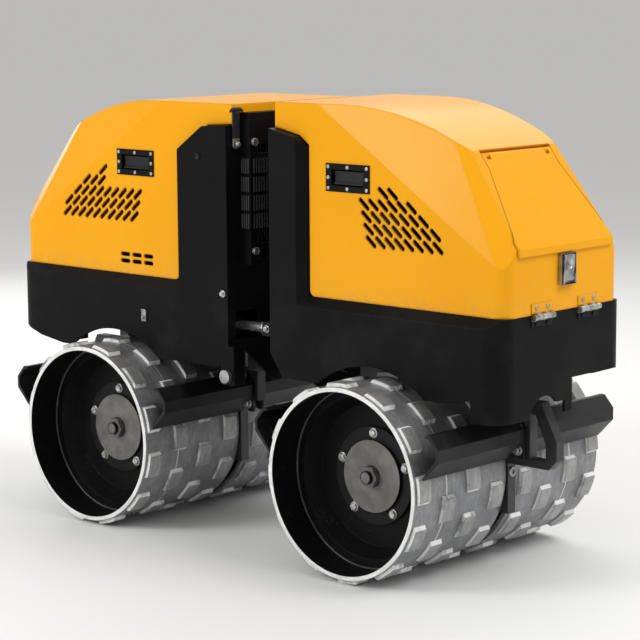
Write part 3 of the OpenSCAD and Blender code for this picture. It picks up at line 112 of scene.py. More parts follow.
# %% Lights
LIGHTS = {
    # name: (place, aim, width, height, power)
    "key_panel": ((-2.6, -5.6, 3.8), (0, 0, 0.6), 2.8, 2.6, 212),
    "fill_panel": ((4.2, 0.9, 5.4), (0.3, 0, 0.6), 3.0, 3.0, 185),
    "top_panel": ((-0.9, 3.8, 4.3), (0, 0, 0.9), 5.0, 3.2, 85),
    "back_panel": ((-5.0, 2.0, 2.4), (0, 0, 0.7), 3.0, 2.4, 50),
}
PANEL_GLOSS = 0.25
WORLD_TONE = (1.0, 0.99, 0.965, 1)
WORLD_STRENGTH = 0.60


def add_panel(name, location, aim, width, height, power):
    """Hang one soft rectangular light and turn it to its aim."""
    data = bpy.data.lights.new(name, "AREA")
    data.shape = "RECTANGLE"
    data.size = width
    data.size_y = height
    data.energy = power
    data.specular_factor = PANEL_GLOSS
    panel = bpy.data.objects.new(name, data)
    bpy.context.scene.collection.objects.link(panel)
    panel.location = location
    direction = Vector(aim) - Vector(location)
    panel.rotation_euler = direction.to_track_quat("-Z", "Y").to_euler()
    return panel


for light_name, (location, aim, width, height, power) in LIGHTS.items():
    add_panel(light_name, location, aim, width, height, power)

world = bpy.data.worlds.new("studio_world")
bpy.context.scene.world = world
world.use_nodes = True
sky = world.node_tree.nodes["Background"]
sky.inputs["Color"].default_value = WORLD_TONE
sky.inputs["Strength"].default_value = WORLD_STRENGTH
print("lights:", ", ".join(LIGHTS))

# %% [markdown]
# ## Writing shaders as sums
#
# A procedural finish is a small calculation: noise makes a mask, the mask mixes two colours. Wiring
# that by hand takes many lines. Wire holds one socket and turns +, -, * and ** into Math nodes, and
# Finish holds one material and adds any other node with its settings and sockets in one call. Every
# pattern reads the object's own coordinates, so it needs no unwrapping, shows no seam at a fold and
# moves with its piece.


# %% A socket that can be calculated with
class Wire:
    """One output socket of a material, with Python's operators."""

    def __init__(self, finish, socket):
        self.finish = finish
        self.socket = socket

    def math(self, operation, first, second):
        return self.finish.add(
            "ShaderNodeMath", {"operation": operation}, {0: first, 1: second}
        )

    def __add__(self, other):
        return self.math("ADD", self, other)

    def __radd__(self, other):
        return self.math("ADD", other, self)

    def __sub__(self, other):
        return self.math("SUBTRACT", self, other)

    def __rsub__(self, other):
        return self.math("SUBTRACT", other, self)

    def __mul__(self, other):
        return self.math("MULTIPLY", self, other)

    def __rmul__(self, other):
        return self.math("MULTIPLY", other, self)

    def __pow__(self, other):
        return self.math("POWER", self, other)

    def __rpow__(self, other):
        return self.math("POWER", other, self)


# %% A material that is built in calls
class Finish:
    """One material while it is being built."""

    def __init__(self, name):
        self.material = bpy.data.materials.new(name)
        self.material.use_nodes = True
        self.tree = self.material.node_tree
        self.tree.nodes.clear()
        coordinates = self.tree.nodes.new("ShaderNodeTexCoord")
        self.place = Wire(self, coordinates.outputs["Object"])

    def add(self, kind, settings=None, sockets=None, output=0):
        """Add a node: settings first, then the values or wires of its sockets."""
        node = self.tree.nodes.new(kind)
        for key, value in (settings or {}).items():
            if key == "stops":
                ramp = node.color_ramp.elements
                while len(ramp) < len(value):
                    ramp.new(0.5)
                for element, (position, colour) in zip(ramp, value):
                    element.position = position
                    element.color = (*colour, 1) if len(colour) == 3 else colour
            else:
                setattr(node, key, value)
        for key, value in (sockets or {}).items():
            if isinstance(value, Wire):
                self.tree.links.new(value.socket, node.inputs[key])
            else:
                node.inputs[key].default_value = value
        return Wire(self, node.outputs[output])

    def noise(self, scale, detail=4.0, roughness=0.5, vector=None):
        return self.add(
            "ShaderNodeTexNoise",
            {},
            {
                "Vector": vector or self.place,
                "Scale": scale,
                "Detail": detail,
                "Roughness": roughness,
            },
            "Fac",
        )

    def cells(self, scale):
        sockets = {"Vector": self.place, "Scale": scale}
        return self.add("ShaderNodeTexVoronoi", {"feature": "F1"}, sockets, "Distance")

    def stretched(self, scale):
        """The place with each axis scaled by its own factor, for streaks."""
        return self.add(
            "ShaderNodeVectorMath", {"operation": "MULTIPLY"}, {0: self.place, 1: scale}
        )

    def band(self, value, low, high):
        """0 below low, 1 above high and smooth between, or the other way round."""
        return self.add(
            "ShaderNodeMapRange",
            {"interpolation_type": "SMOOTHSTEP", "clamp": True},
            {"Value": value, "From Min": low, "From Max": high, "To Min": 0.0, "To Max": 1.0},
        )

    def mix(self, factor, first, second):
        """A colour between two colours or wires."""
        sockets = {"Factor": factor}
        for index, colour in ((6, first), (7, second)):
            sockets[index] = colour if isinstance(colour, Wire) else (*colour, 1)
        return self.add(
            "ShaderNodeMix", {"data_type": "RGBA", "clamp_factor": True}, sockets, 2
        )

    def axis(self, name):
        return self.add("ShaderNodeSeparateXYZ", {}, {0: self.place}, name)

    def size_of(self, name):
        """The axis without its sign, for what is the same on both sides or at both ends."""
        return self.add("ShaderNodeMath", {"operation": "ABSOLUTE"}, {0: self.axis(name)})

    def soft_edges(self, radius):
        """The surface's direction with edges rounded by a radius, as paint and use round them."""
        return self.add("ShaderNodeBevel", {"samples": 4}, {"Radius": radius})

    def edge_wear(self, radius, low=0.04, high=0.22):
        """0 on flat faces and 1 at edges: how far the rounded direction turns from the true one."""
        true_normal = self.add("ShaderNodeNewGeometry", {}, {}, "True Normal")
        same = self.add(
            "ShaderNodeVectorMath",
            {"operation": "DOT_PRODUCT"},
            {0: self.soft_edges(radius), 1: true_normal},
            "Value",
        )
        return self.band(1 - same, low, high)

    def bump(self, height, distance, strength=1.0, normal=None):
        sockets = {"Height": height, "Distance": distance, "Strength": strength}
        if normal is not None:
            sockets["Normal"] = normal
        return self.add("ShaderNodeBump", {}, sockets)

    def finish(self, sockets):
        """Close the material with a Principled shader and return it."""
        shader = self.add("ShaderNodeBsdfPrincipled", {}, sockets)
        output = self.tree.nodes.new("ShaderNodeOutputMaterial")
        self.tree.links.new(shader.socket, output.inputs["Surface"])
        print("finish", self.material.name, "with", len(self.tree.nodes), "nodes")
        return self.material


# %% [markdown]
# ## Yellow hood paint
#
# The hoods are folded and welded sheet with a thick sprayed gloss coat. Enamel is never flat: it
# has a fine orange-peel ripple, the colour dulls a little in broad clouds, and dust settles along
# the lower edge. The folds are soft, so the shader reads a rounded direction near every edge. What
# stands proud of the end wall on a hood is its share of the hinges and their bolts, which are bare
# zinc.

# %% Yellow enamel
HINGE_STEEL_X = 0.9456
ZINC_DARK = (0.30, 0.30, 0.29)
ZINC_LIGHT = (0.66, 0.66, 0.64)
YELLOW = (0.870, 0.382, 0.007)
YELLOW_DULL = (0.830, 0.358, 0.005)
SAND = (0.50, 0.33, 0.14)
DUST_LINE_Z = 0.755


def yellow_enamel(name, with_hinges, fold):
    f = Finish(name)
    height = f.axis("Z")
    clouds = f.noise(2.2, 3.0)
    fine = f.noise(38.0, 5.0, 0.6)
    paint = f.mix(f.band(clouds, 0.35, 0.7), YELLOW, YELLOW_DULL)
    dust = f.band(height + fine * 0.05, DUST_LINE_Z + 0.075, DUST_LINE_Z)
    dust = dust * f.band(fine, 0.42, 0.66)
    colour = f.mix(dust * 0.25, paint, SAND)
    ripple = f.noise(420.0, 2.0)
    rough = f.noise(6.0) * 0.10 + 0.24 + dust * 0.25
    sockets = {
        "Normal": f.bump(ripple, 0.00030, 0.30, f.soft_edges(fold)),
        "Specular IOR Level": 0.11,
        "Coat Weight": 0.07,
        "Coat Roughness": 0.12,
    }
    if with_hinges:
        metal = f.band(f.size_of("X"), HINGE_STEEL_X - 0.0003, HINGE_STEEL_X)
        colour = f.mix(metal, colour, f.mix(fine, ZINC_DARK, ZINC_LIGHT))
        rough = rough * (1 - metal) + metal * 0.32
        sockets["Metallic"] = metal * 0.92
    sockets["Base Color"] = colour
    sockets["Roughness"] = rough
    return f.finish(sockets)


# %% [markdown]
# ## Black frame paint
#
# Frames, scrapers and guards carry a satin black powder coat. Powder leaves a finer, rounder
# texture than spray, and it flows round the edges of the plates, where it also wears through first.
# Near the ground it is scuffed and dusty, so a mask that fades with height lets grey dust through.
# Scrapers and carriers are polished by soil, so they get more sheen, and the guard's bolt heads are
# bare zinc.

# %% Black powder coat
POWDER_DEEP = (0.0030, 0.0031, 0.0036)
POWDER_FADED = (0.0060, 0.0060, 0.0067)
ROAD_DUST = (0.085, 0.078, 0.068)
SCRATCH_GREY = (0.10, 0.10, 0.10)
EDGE_GREY = (0.14, 0.14, 0.145)
DUST_DEPTH = 0.35


def black_powder(name, dust_top, zinc_from_x=None, sheen=0.08):
    f = Finish(name)
    height = f.axis("Z")
    clouds = f.noise(5.0, 5.0, 0.6)
    grain = f.noise(900.0, 2.0)
    scratches = f.noise(30.0, 6.0, 0.7, f.stretched((1.0, 1.0, 9.0)))
    low = f.band(height, dust_top, dust_top - DUST_DEPTH)
    dust = low * f.band(clouds, 0.45, 0.75)
    worn = f.band(scratches, 0.66, 0.74) * (low * 0.5 + 0.08)
    edges = f.edge_wear(0.0022) * f.band(clouds, 0.40, 0.62) * (low * 0.5 + 0.3)
    black = f.mix(clouds, POWDER_DEEP, POWDER_FADED)
    colour = f.mix(dust * 0.16, black, ROAD_DUST)
    colour = f.mix(worn * 0.45, colour, SCRATCH_GREY)
    colour = f.mix(edges * 0.55, colour, EDGE_GREY)
    rough = clouds * 0.14 + 0.33 + dust * 0.25
    sockets = {
        "Normal": f.bump(grain, 0.0003, 0.30, f.soft_edges(0.0035)),
        "Specular IOR Level": sheen,
    }
    if zinc_from_x is not None:
        metal = f.band(f.axis("X"), zinc_from_x - 0.0003, zinc_from_x)
        colour = f.mix(metal, colour, f.mix(clouds, ZINC_DARK, ZINC_LIGHT))
        rough = rough * (1 - metal) + metal * 0.3
        sockets["Metallic"] = metal * 0.92
    sockets["Base Color"] = colour
    sockets["Roughness"] = rough
    return f.finish(sockets)


# %% [markdown]
# ## Worn drum steel
#
# The drums roll on gravel, which polishes the pads and scours the shell between them, while the
# inside of the drum keeps its black paint. One material does all of it: the distance from the axle
# tells a pad's top from its flanks, these from the shell, and the shell from the painted well. The
# flanks are painted near-white in patches, a painted highlight for their glinting slopes. The scour
# marks run round the drum, so their noise is read in turned coordinates, where angle and width are
# the two directions. Two rolled rings are welded together, and the ground seam stays bright.

# %% Rolled and scoured steel
AXLE_X = 0.506
AXLE_Z = 0.272
SHELL_INNER_R = 0.248
SHELL_R = 0.260
PAD_R = 0.272
DRUM_FACE_Y = 0.400
WEB_RIM_Y = 0.300
SEAM_Y = 0.269
SHELL_STOPS = [
    (0.30, (0.16, 0.16, 0.165)), (0.50, (0.26, 0.265, 0.275)), (0.72, (0.44, 0.44, 0.45)),
]
PAD_STOPS = [
    (0.28, (0.22, 0.22, 0.225)), (0.50, (0.34, 0.34, 0.342)), (0.70, (0.54, 0.54, 0.538)),
]
# Painted highlight: the near-white colour laid on the pad flanks.
FLANK_HIGHLIGHT = (0.90, 0.90, 0.895)
GROUND_SEAM = (0.85, 0.85, 0.84)
RIM_DARK = (0.66, 0.66, 0.655)
RIM_LIGHT = (0.90, 0.90, 0.89)
WELL_DEEP = (0.0030, 0.0030, 0.0034)
WELL_FADED = (0.0075, 0.0075, 0.0076)


def from_axle(f, sign):
    """Distance from an axle and angle round it, as wires; sign says whose axle it is."""
    along = f.axis("X") - sign * AXLE_X
    high = f.axis("Z") - AXLE_Z
    radius = (along * along + high * high) ** 0.5
    angle = f.add("ShaderNodeMath", {"operation": "ARCTAN2"}, {0: high, 1: along})
    return radius, angle


def drum_steel(name, sign):
    f = Finish(name)
    radius, angle = from_axle(f, sign)
    width = f.axis("Y")
    round_place = f.add(
        "ShaderNodeCombineXYZ", {}, {"X": angle * 0.30, "Y": width * 4.0, "Z": radius * 4.0}
    )
    blotch = f.noise(14.0, 5.0, 0.6)
    pits = f.noise(95.0, 5.0, 0.65)
    scour = f.noise(26.0, 6.0, 0.7, round_place)
    edges = f.edge_wear(0.0022, 0.02, 0.16)
    pad_top = f.band(radius + pits * 0.001, PAD_R - 0.0016, PAD_R - 0.0006)
    above_shell = f.band(radius + pits * 0.001, SHELL_R + 0.0014, SHELL_R + 0.0026)
    pad_side = above_shell * (1 - pad_top)
    shell_tone = f.add(
        "ShaderNodeValToRGB",
        {"stops": SHELL_STOPS},
        {0: blotch * 0.35 + pits * 0.25 + scour * 0.40},
    )
    top_tone = f.add(
        "ShaderNodeValToRGB",
        {"stops": PAD_STOPS},
        {0: blotch * 0.25 + pits * 0.25 + scour * 0.50},
    )
    steel = f.mix(f.band(pad_top + edges * 0.8, 0.1, 0.9), shell_tone, top_tone)
    # The pad flanks are painted near-white in patches, a painted highlight.
    steel = f.mix(pad_side * f.band(blotch, 0.30, 0.55) * 0.9, steel, FLANK_HIGHLIGHT)
    across = f.size_of("Y")
    from_seam = f.add("ShaderNodeMath", {"operation": "ABSOLUTE"}, {0: across - SEAM_Y})
    seam = f.band(from_seam + pits * 0.001, 0.0030, 0.0016) * (1 - pad_top)
    steel = f.mix(seam * 0.8, steel, GROUND_SEAM)
    face = f.band(across, DRUM_FACE_Y - 0.0015, DRUM_FACE_Y - 0.0005)
    steel = f.mix(face, steel, f.mix(f.band(scour, 0.3, 0.7), RIM_DARK, RIM_LIGHT))
    well = f.band(radius + blotch * 0.0006, SHELL_INNER_R + 0.0014, SHELL_INNER_R + 0.0004)
    paint = f.mix(blotch, WELL_DEEP, WELL_FADED)
    chips = f.band(pits + blotch * 0.5, 0.90, 0.98)
    colour = f.mix(well, steel, f.mix(chips * 0.4, paint, SCRATCH_GREY))
    bare = 1 - well
    rough = bare * (pits * 0.28 + 0.30 - pad_top * 0.10) + well * (blotch * 0.16 + 0.36)
    dents = pits * 0.6 + scour * 0.4
    return f.finish({
        "Base Color": colour,
        "Metallic": bare * (1 - pad_side) * 0.45,
        "Roughness": rough,
        "Specular IOR Level": 0.12,
        "Normal": f.bump(dents, 0.0010, 0.35, f.soft_edges(0.0022)),
    })


# %% [markdown]
# ## Hubs and their fasteners
#
# Each hub is black like the web that it is bolted to, and only its round cover is a smooth grey
# plate, turned on a lathe and then handled, so faint rings run round the axle under greasy clouds.
# The five flange bolts are bright zinc, and the big centre nut is oily and dark: distance from the
# axle tells them apart. A black ring round the nut on the cover is painted shade.

# %% Hub covers and fasteners
HUB_COVER_R = 0.0995
NUT_SHADE_R = 0.0305
NUT_STUD_R = 0.0150
NUT_EDGE_R = 0.055
BOLTS_FROM_R = 0.075
COVER_DARK = (0.140, 0.136, 0.128)
COVER_LIGHT = (0.205, 0.199, 0.189)
NUT_DARK = (0.085, 0.083, 0.080)
NUT_LIGHT = (0.150, 0.146, 0.140)
# Painted shade: the black ring round the centre nut on the cover.
NUT_SHADE_BLACK = (0.012, 0.012, 0.012)
FLANGE_DARK = (0.0040, 0.0040, 0.0045)
FLANGE_LIGHT = (0.0090, 0.0090, 0.0095)


def hub_finish(name, sign):
    f = Finish(name)
    radius, _ = from_axle(f, sign)
    rings = f.add(
        "ShaderNodeTexWave",
        {"wave_type": "BANDS", "bands_direction": "X", "wave_profile": "SIN"},
        {
            "Vector": f.add("ShaderNodeCombineXYZ", {}, {"X": radius}),
            "Scale": 150.0,
            "Distortion": 0.6,
        },
        "Fac",
    )
    grease = f.noise(24.0, 5.0, 0.6)
    cover = f.mix(f.band(grease, 0.35, 0.7), COVER_DARK, COVER_LIGHT)
    # A black ring round the centre nut, painted shade.
    nut_shade = f.band(radius, NUT_SHADE_R + 0.0004, NUT_SHADE_R - 0.0004)
    nut_shade = nut_shade * f.band(radius, NUT_STUD_R, NUT_STUD_R + 0.0006)
    cover = f.mix(nut_shade, cover, NUT_SHADE_BLACK)
    flange = f.mix(grease, FLANGE_DARK, FLANGE_LIGHT)
    black = f.band(radius, HUB_COVER_R - 0.0003, HUB_COVER_R + 0.0003)
    return f.finish({
        "Specular IOR Level": 0.20,
        "Base Color": f.mix(black, cover, flange),
        "Metallic": (1 - black) * 0.45,
        "Roughness": grease * 0.18 + 0.40,
        "Normal": f.bump(rings * 0.35 * (1 - black) + grease, 0.0004, 0.30, f.soft_edges(0.002)),
    })


def hub_bolt_finish(name, sign):
    f = Finish(name)
    radius, _ = from_axle(f, sign)
    grime = f.noise(70.0, 4.0)
    bright = f.band(radius, NUT_EDGE_R, BOLTS_FROM_R)
    plated = f.mix(f.band(grime, 0.36, 0.62), ZINC_DARK, ZINC_LIGHT)
    return f.finish({
        "Base Color": f.mix(bright, f.mix(grime, NUT_DARK, NUT_LIGHT), plated),
        "Metallic": bright * 0.9,
        "Roughness": grime * 0.2 + 0.28,
        "Normal": f.bump(grime, 0.0003, 0.3, f.soft_edges(0.0012)),
    })


# %% [markdown]
# ## Plated steel, cast iron and plastic
#
# Fasteners, catches and the cylinder rod are plated: pale, slightly uneven, a little darker where
# grime sits. Castings are pebbled under dark paint. Moulded plastic has a fine even grain and a
# dull sheen. Plating and moulding are functions that take their colours, because many pieces share
# the process but not the shade.

# %% Plated, cast and moulded finishes
CAST_DARK = (0.020, 0.021, 0.023)
CAST_LIGHT = (0.048, 0.049, 0.052)


def plated_steel(name, dark, light, roughness):
    f = Finish(name)
    cloud = f.noise(60.0, 4.0)
    grime = f.noise(22.0, 4.0)
    return f.finish({
        "Base Color": f.mix(f.band(grime, 0.38, 0.66), dark, light),
        "Metallic": 0.90,
        "Roughness": cloud * 0.2 + roughness,
        "Normal": f.bump(cloud, 0.0002, 0.2, f.soft_edges(0.0008)),
    })


def cast_paint(name):
    f = Finish(name)
    pebbles = f.cells(320.0)
    cloud = f.noise(12.0, 5.0)
    return f.finish({
        "Base Color": f.mix(f.band(cloud, 0.35, 0.7), CAST_DARK, CAST_LIGHT),
        "Metallic": 0.25,
        "Roughness": cloud * 0.2 + 0.42,
        "Normal": f.bump(pebbles, 0.0008, 0.4, f.soft_edges(0.003)),
    })


def moulded(name, colour_low, colour_high, roughness, edge=0.0015):
    f = Finish(name)
    grain = f.cells(750.0)
    cloud = f.noise(18.0, 4.0)
    return f.finish({
        "Base Color": f.mix(cloud, colour_low, colour_high),
        "Roughness": cloud * 0.15 + roughness,
        "Specular IOR Level": 0.22,
        "Normal": f.bump(grain, 0.0003, 0.35, f.soft_edges(edge)),
    })


# %% [markdown]
# ## Nodes that hold two finishes
#
# Some construction nodes join two materials, such as a black handle plate with bright screws, a
# rubber pull on its pivot, or a chromed rod with a painted fork. They could be cut into pieces, but
# a mask that reads on which side of a plane a point lies keeps each node whole, and it stays exact
# because the pattern moves with the node.

# %% Nodes that hold two finishes
PLATE_FACE_Y = 0.2533
END_WALL_X = 0.9422
PIVOT_Z = 1.158
SCREWED_DARK = (0.0032, 0.0032, 0.0038)
SCREWED_LIGHT = (0.0068, 0.0068, 0.0072)
RUBBER_DARK = (0.009, 0.009, 0.010)
RUBBER_LIGHT = (0.020, 0.020, 0.021)
FORK_DARK = (0.0042, 0.0042, 0.0048)
FORK_LIGHT = (0.0085, 0.0085, 0.0090)


def fittings_finish(name):
    """Black handle plates with bright screws, and a bright latch base on the end wall."""
    f = Finish(name)
    grain = f.cells(750.0)
    cloud = f.noise(18.0, 4.0)
    metal = f.add(
        "ShaderNodeMath",
        {"operation": "MAXIMUM"},
        {
            0: f.band(f.size_of("Y"), PLATE_FACE_Y - 0.0002, PLATE_FACE_Y + 0.0001),
            1: f.band(f.size_of("X"), END_WALL_X - 0.0004, END_WALL_X - 0.0001),
        },
    )
    plastic = f.mix(cloud, SCREWED_DARK, SCREWED_LIGHT)
    return f.finish({
        "Specular IOR Level": 0.09,
        "Base Color": f.mix(metal, plastic, f.mix(cloud, ZINC_DARK, ZINC_LIGHT)),
        "Metallic": metal * 0.92,
        "Roughness": cloud * 0.15 + 0.38 - metal * 0.08,
        "Normal": f.bump(grain, 0.0003, 0.3, f.soft_edges(0.0015)),
    })


def catch_finish(name):
    """A black rubber pull above its bright pivot."""
    f = Finish(name)
    cloud = f.noise(40.0, 4.0)
    metal = f.band(f.axis("Z"), PIVOT_Z, PIVOT_Z - 0.001)
    pull = f.mix(cloud, RUBBER_DARK, RUBBER_LIGHT)
    return f.finish({
        "Base Color": f.mix(metal, pull, f.mix(cloud, ZINC_DARK, ZINC_LIGHT)),
        "Metallic": metal * 0.92,
        "Roughness": cloud * 0.2 + 0.36,
        "Normal": f.bump(cloud, 0.0004, 0.3, f.soft_edges(0.0015)),
    })


def split_finish(name, axis_name, line, width, dark, light, roughness, sign=1):
    """Plated steel up to a line across the piece, black powder beyond it, or the reverse."""
    f = Finish(name)
    cloud = f.noise(60.0, 4.0)
    grime = f.noise(22.0, 4.0)
    along = f.axis(axis_name)
    low, high = (line, line + width) if sign > 0 else (line + width, line)
    black = f.band(along, low, high)
    powder = f.mix(cloud, FORK_DARK, FORK_LIGHT)
    return f.finish({
        "Base Color": f.mix(black, f.mix(f.band(grime, 0.38, 0.66), dark, light), powder),
        "Metallic": (1 - black) * 0.9,
        "Roughness": cloud * 0.2 + roughness + black * 0.15,
        "Specular IOR Level": 0.2,
        "Normal": f.bump(cloud, 0.0002, 0.2, f.soft_edges(0.0008)),
    })


# %% [markdown]
# ## The cooler core
#
# Behind the guard lies a stack of thin aluminium fins, of which only glimpses show. Modelling
# hundreds of fins would cost more than it gives, so a wave texture draws even stripes: pale fins and
# dark stripes between them, which are painted shade of the gaps. The same stripes drive the bump,
# and broad noise lays dust between them.

# %% Cooler fins
# Painted shade: the dark colour of the stripes between the fins.
FIN_GAP_SHADE = (0.05, 0.05, 0.052)
FIN_METAL = (0.32, 0.32, 0.31)
FIN_DUST = (0.16, 0.14, 0.11)


def cooler_core(name):
    f = Finish(name)
    fins = f.add(
        "ShaderNodeTexWave",
        {"wave_type": "BANDS", "bands_direction": "Y"},
        {"Vector": f.place, "Scale": 95.0, "Distortion": 0.3},
        "Fac",
    )
    dust = f.noise(16.0, 4.0)
    # The dark stripes between the fins are painted shade.
    colour = f.mix(fins, FIN_GAP_SHADE, FIN_METAL)
    return f.finish({
        "Base Color": f.mix(dust * 0.4, colour, FIN_DUST),
        "Metallic": 0.6,
        "Roughness": dust * 0.2 + 0.38,
        "Normal": f.bump(fins, 0.0012, 0.6),
    })


# %% [markdown]
# ## Hand out the finishes
#
# Each construction node names its finish in one table, and the last line prints the nodes that were
# forgotten, so nothing is left in plain grey. The two units get their own drum and hub finishes,
# because the rings are measured from each unit's own axle.

# %% Give every node its finish
GUARD_BOLT_X = 0.0124
ROD_CHROME_X = 0.0470
HINGE_LEAF_Z = 0.7230
hood_enamel = yellow_enamel("hood_enamel", with_hinges=True, fold=0.009)
flap_enamel = yellow_enamel("flap_enamel", with_hinges=False, fold=0.003)
powder = black_powder("frame_powder", dust_top=0.85)
carrier_powder = black_powder("carrier_powder", dust_top=0.70, sheen=0.70)
scraper_powder = black_powder("scraper_powder", dust_top=0.70, sheen=0.30)
guard_powder = black_powder("guard_powder", dust_top=0.60, zinc_from_x=GUARD_BOLT_X)
zinc = plated_steel("zinc", ZINC_DARK, ZINC_LIGHT, roughness=0.24)
stainless = plated_steel("latch_steel", (0.24, 0.24, 0.245), (0.50, 0.50, 0.50), roughness=0.22)
chrome = split_finish(
    "rod_chrome", "X", ROD_CHROME_X, 0.0004, (0.55, 0.56, 0.57), (0.82, 0.83, 0.84), roughness=0.10
)
hinge_zinc = split_finish(
    "hinge_zinc", "Z", HINGE_LEAF_Z, 0.0006, ZINC_DARK, ZINC_LIGHT, roughness=0.26, sign=-1
)
bearing = plated_steel("bearing_steel", (0.40, 0.40, 0.40), (0.62, 0.62, 0.62), roughness=0.18)
machined = plated_steel("machined_steel", (0.20, 0.20, 0.20), (0.40, 0.40, 0.39), roughness=0.30)
casting = cast_paint("cast_grey")
black_plastic = moulded(
    "moulded_black", (0.008, 0.008, 0.009), (0.020, 0.020, 0.021), roughness=0.42
)
tank_plastic = moulded(
    "tank_plastic", (0.0075, 0.0075, 0.0085), (0.0180, 0.0180, 0.0190), roughness=0.50, edge=0.012
)
bead_paint = moulded(
    "bead_paint", (0.020, 0.020, 0.020), (0.110, 0.110, 0.110), roughness=0.16
)
bar_metal = moulded(
    "bar_metal", (0.030, 0.030, 0.032), (0.070, 0.070, 0.072), roughness=0.35, edge=0.0005
)
rubber = moulded("black_rubber", RUBBER_DARK, (0.018, 0.018, 0.018), roughness=0.55)
fittings = fittings_finish("hood_fittings_finish")
catch = catch_finish("hood_catch_finish")
core = cooler_core("cooler_core")

FINISHES = {
    hood_enamel: ["rear_hood", "front_hood"],
    flap_enamel: ["rear_flap", "front_flap"],
    powder: ["rear_frame", "front_frame"],
    guard_powder: ["cooler_guard"],
    carrier_powder: ["rear_carrier", "front_carrier", "steering_barrel"],
    scraper_powder: ["rear_scrapers", "front_scrapers"],
    zinc: ["steering_pin"],
    hinge_zinc: ["rear_hinges", "front_hinges"],
    stainless: ["lock_pin", "rear_flap_latch", "front_flap_latch"],
    chrome: ["steering_rod"],
    catch: ["rear_hood_hook", "front_hood_hook"],
    bearing: ["rear_bearings", "front_bearings"],
    machined: ["cylinder_head", "muffler", "rear_exciter_shaft", "front_exciter_shaft"],
    casting: [
        "engine_block", "hydraulic_pump", "rear_axle_housing", "front_axle_housing", "joint_yoke",
        "valve_block",
    ],
    fittings: ["rear_hood_fittings", "front_hood_fittings"],
    black_plastic: [
        "rear_paddle_left", "rear_paddle_right", "front_paddle_left", "front_paddle_right",
        "air_filter", "battery", "cooling_fan", "fuel_cap", "hydraulic_cap",
    ],
    tank_plastic: ["hydraulic_tank", "fuel_tank"],
    core: ["cooler"],
}
for unit, sign in UNITS:
    drum = drum_steel(unit + "_drum_steel", sign)
    hub = hub_finish(unit + "_hub_steel", sign)
    bolts = hub_bolt_finish(unit + "_bolt_zinc", sign)
    FINISHES[drum] = [f"{unit}_drum_left", f"{unit}_drum_right"]
    FINISHES[hub] = [f"{unit}_hub_left", f"{unit}_hub_right"]
    FINISHES[bolts] = [f"{unit}_hub_bolts_left", f"{unit}_hub_bolts_right"]

finished = set()
for material, names in FINISHES.items():
    for name in names:
        mesh = nodes[name].data
        mesh.materials.clear()
        mesh.materials.append(material)
        finished.add(name)
print("without a finish:", sorted(set(nodes) - finished))

# %% [markdown]
# ## Tools for modelling by hand
#
# The small hardware is modelled the way it would be at the screen: add a primitive, go into edit
# mode, pick faces by where they lie or which way they look, then inset, extrude or bevel them.
# These helpers do the picking, the tidy end of a piece, the joining of parts and the copying of a
# finished model to a new place.


# %% Picking, settling and copying
def only(piece):
    """Make one object the only selected and active one."""
    bpy.ops.object.select_all(action="DESELECT")
    piece.select_set(True)
    bpy.context.view_layer.objects.active = piece


def pick_faces(piece, wanted):
    """Enter edit mode with just those faces selected whose centre and normal pass the test."""
    only(piece)
    bpy.ops.object.mode_set(mode="EDIT")
    bpy.ops.mesh.select_mode(type="FACE")
    bpy.ops.mesh.select_all(action="DESELECT")
    bpy.ops.object.mode_set(mode="OBJECT")
    for face in piece.data.polygons:
        face.select = bool(wanted(face.center, face.normal))
    bpy.ops.object.mode_set(mode="EDIT")


def settle(piece, name, material, smooth=35):
    """Leave edit mode, put the place into the mesh and give the piece its name and finish."""
    bpy.ops.object.mode_set(mode="OBJECT")
    only(piece)
    bpy.ops.object.transform_apply(location=True, rotation=True, scale=True)
    bpy.ops.object.mode_set(mode="EDIT")
    bpy.ops.mesh.select_all(action="SELECT")
    bpy.ops.mesh.normals_make_consistent(inside=False)
    bpy.ops.object.mode_set(mode="OBJECT")
    bpy.ops.object.shade_smooth_by_angle(angle=math.radians(smooth))
    piece.name = name
    piece.data.name = name
    piece.data.materials.clear()
    piece.data.materials.append(material)
    return piece


def join(first, *others):
    """Make one object of several, which keeps the first one's name."""
    bpy.ops.object.select_all(action="DESELECT")
    for piece in (first, *others):
        piece.select_set(True)
    bpy.context.view_layer.objects.active = first
    bpy.ops.object.join()
    return first


def stand(model, name, place, direction, size, body, roll=0.0):
    """Copy a model that stands on z = 0, with its own mesh, to a place on the machine."""
    piece = model.copy()
    piece.data = model.data.copy()
    piece.name = name
    piece.data.name = name
    turn = Vector((0, 0, 1)).rotation_difference(Vector(direction)).to_matrix().to_4x4()
    piece.data.transform(
        Matrix.Translation(place) @ turn @ Matrix.Rotation(roll, 4, "Z") @ Matrix.Scale(size, 4)
    )
    bpy.context.scene.collection.objects.link(piece)
    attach(piece, body)
    return piece


# %% [markdown]
# ## Hexagon bolts with washers
#
# Bright zinc bolts are what catches the light on the black frames. A real head has its six corners
# turned down to a chamfer and a flat washer under it. One bolt is modelled one metre wide across
# its corners, because a model of size 1 is scaled by simply giving each copy its real width.

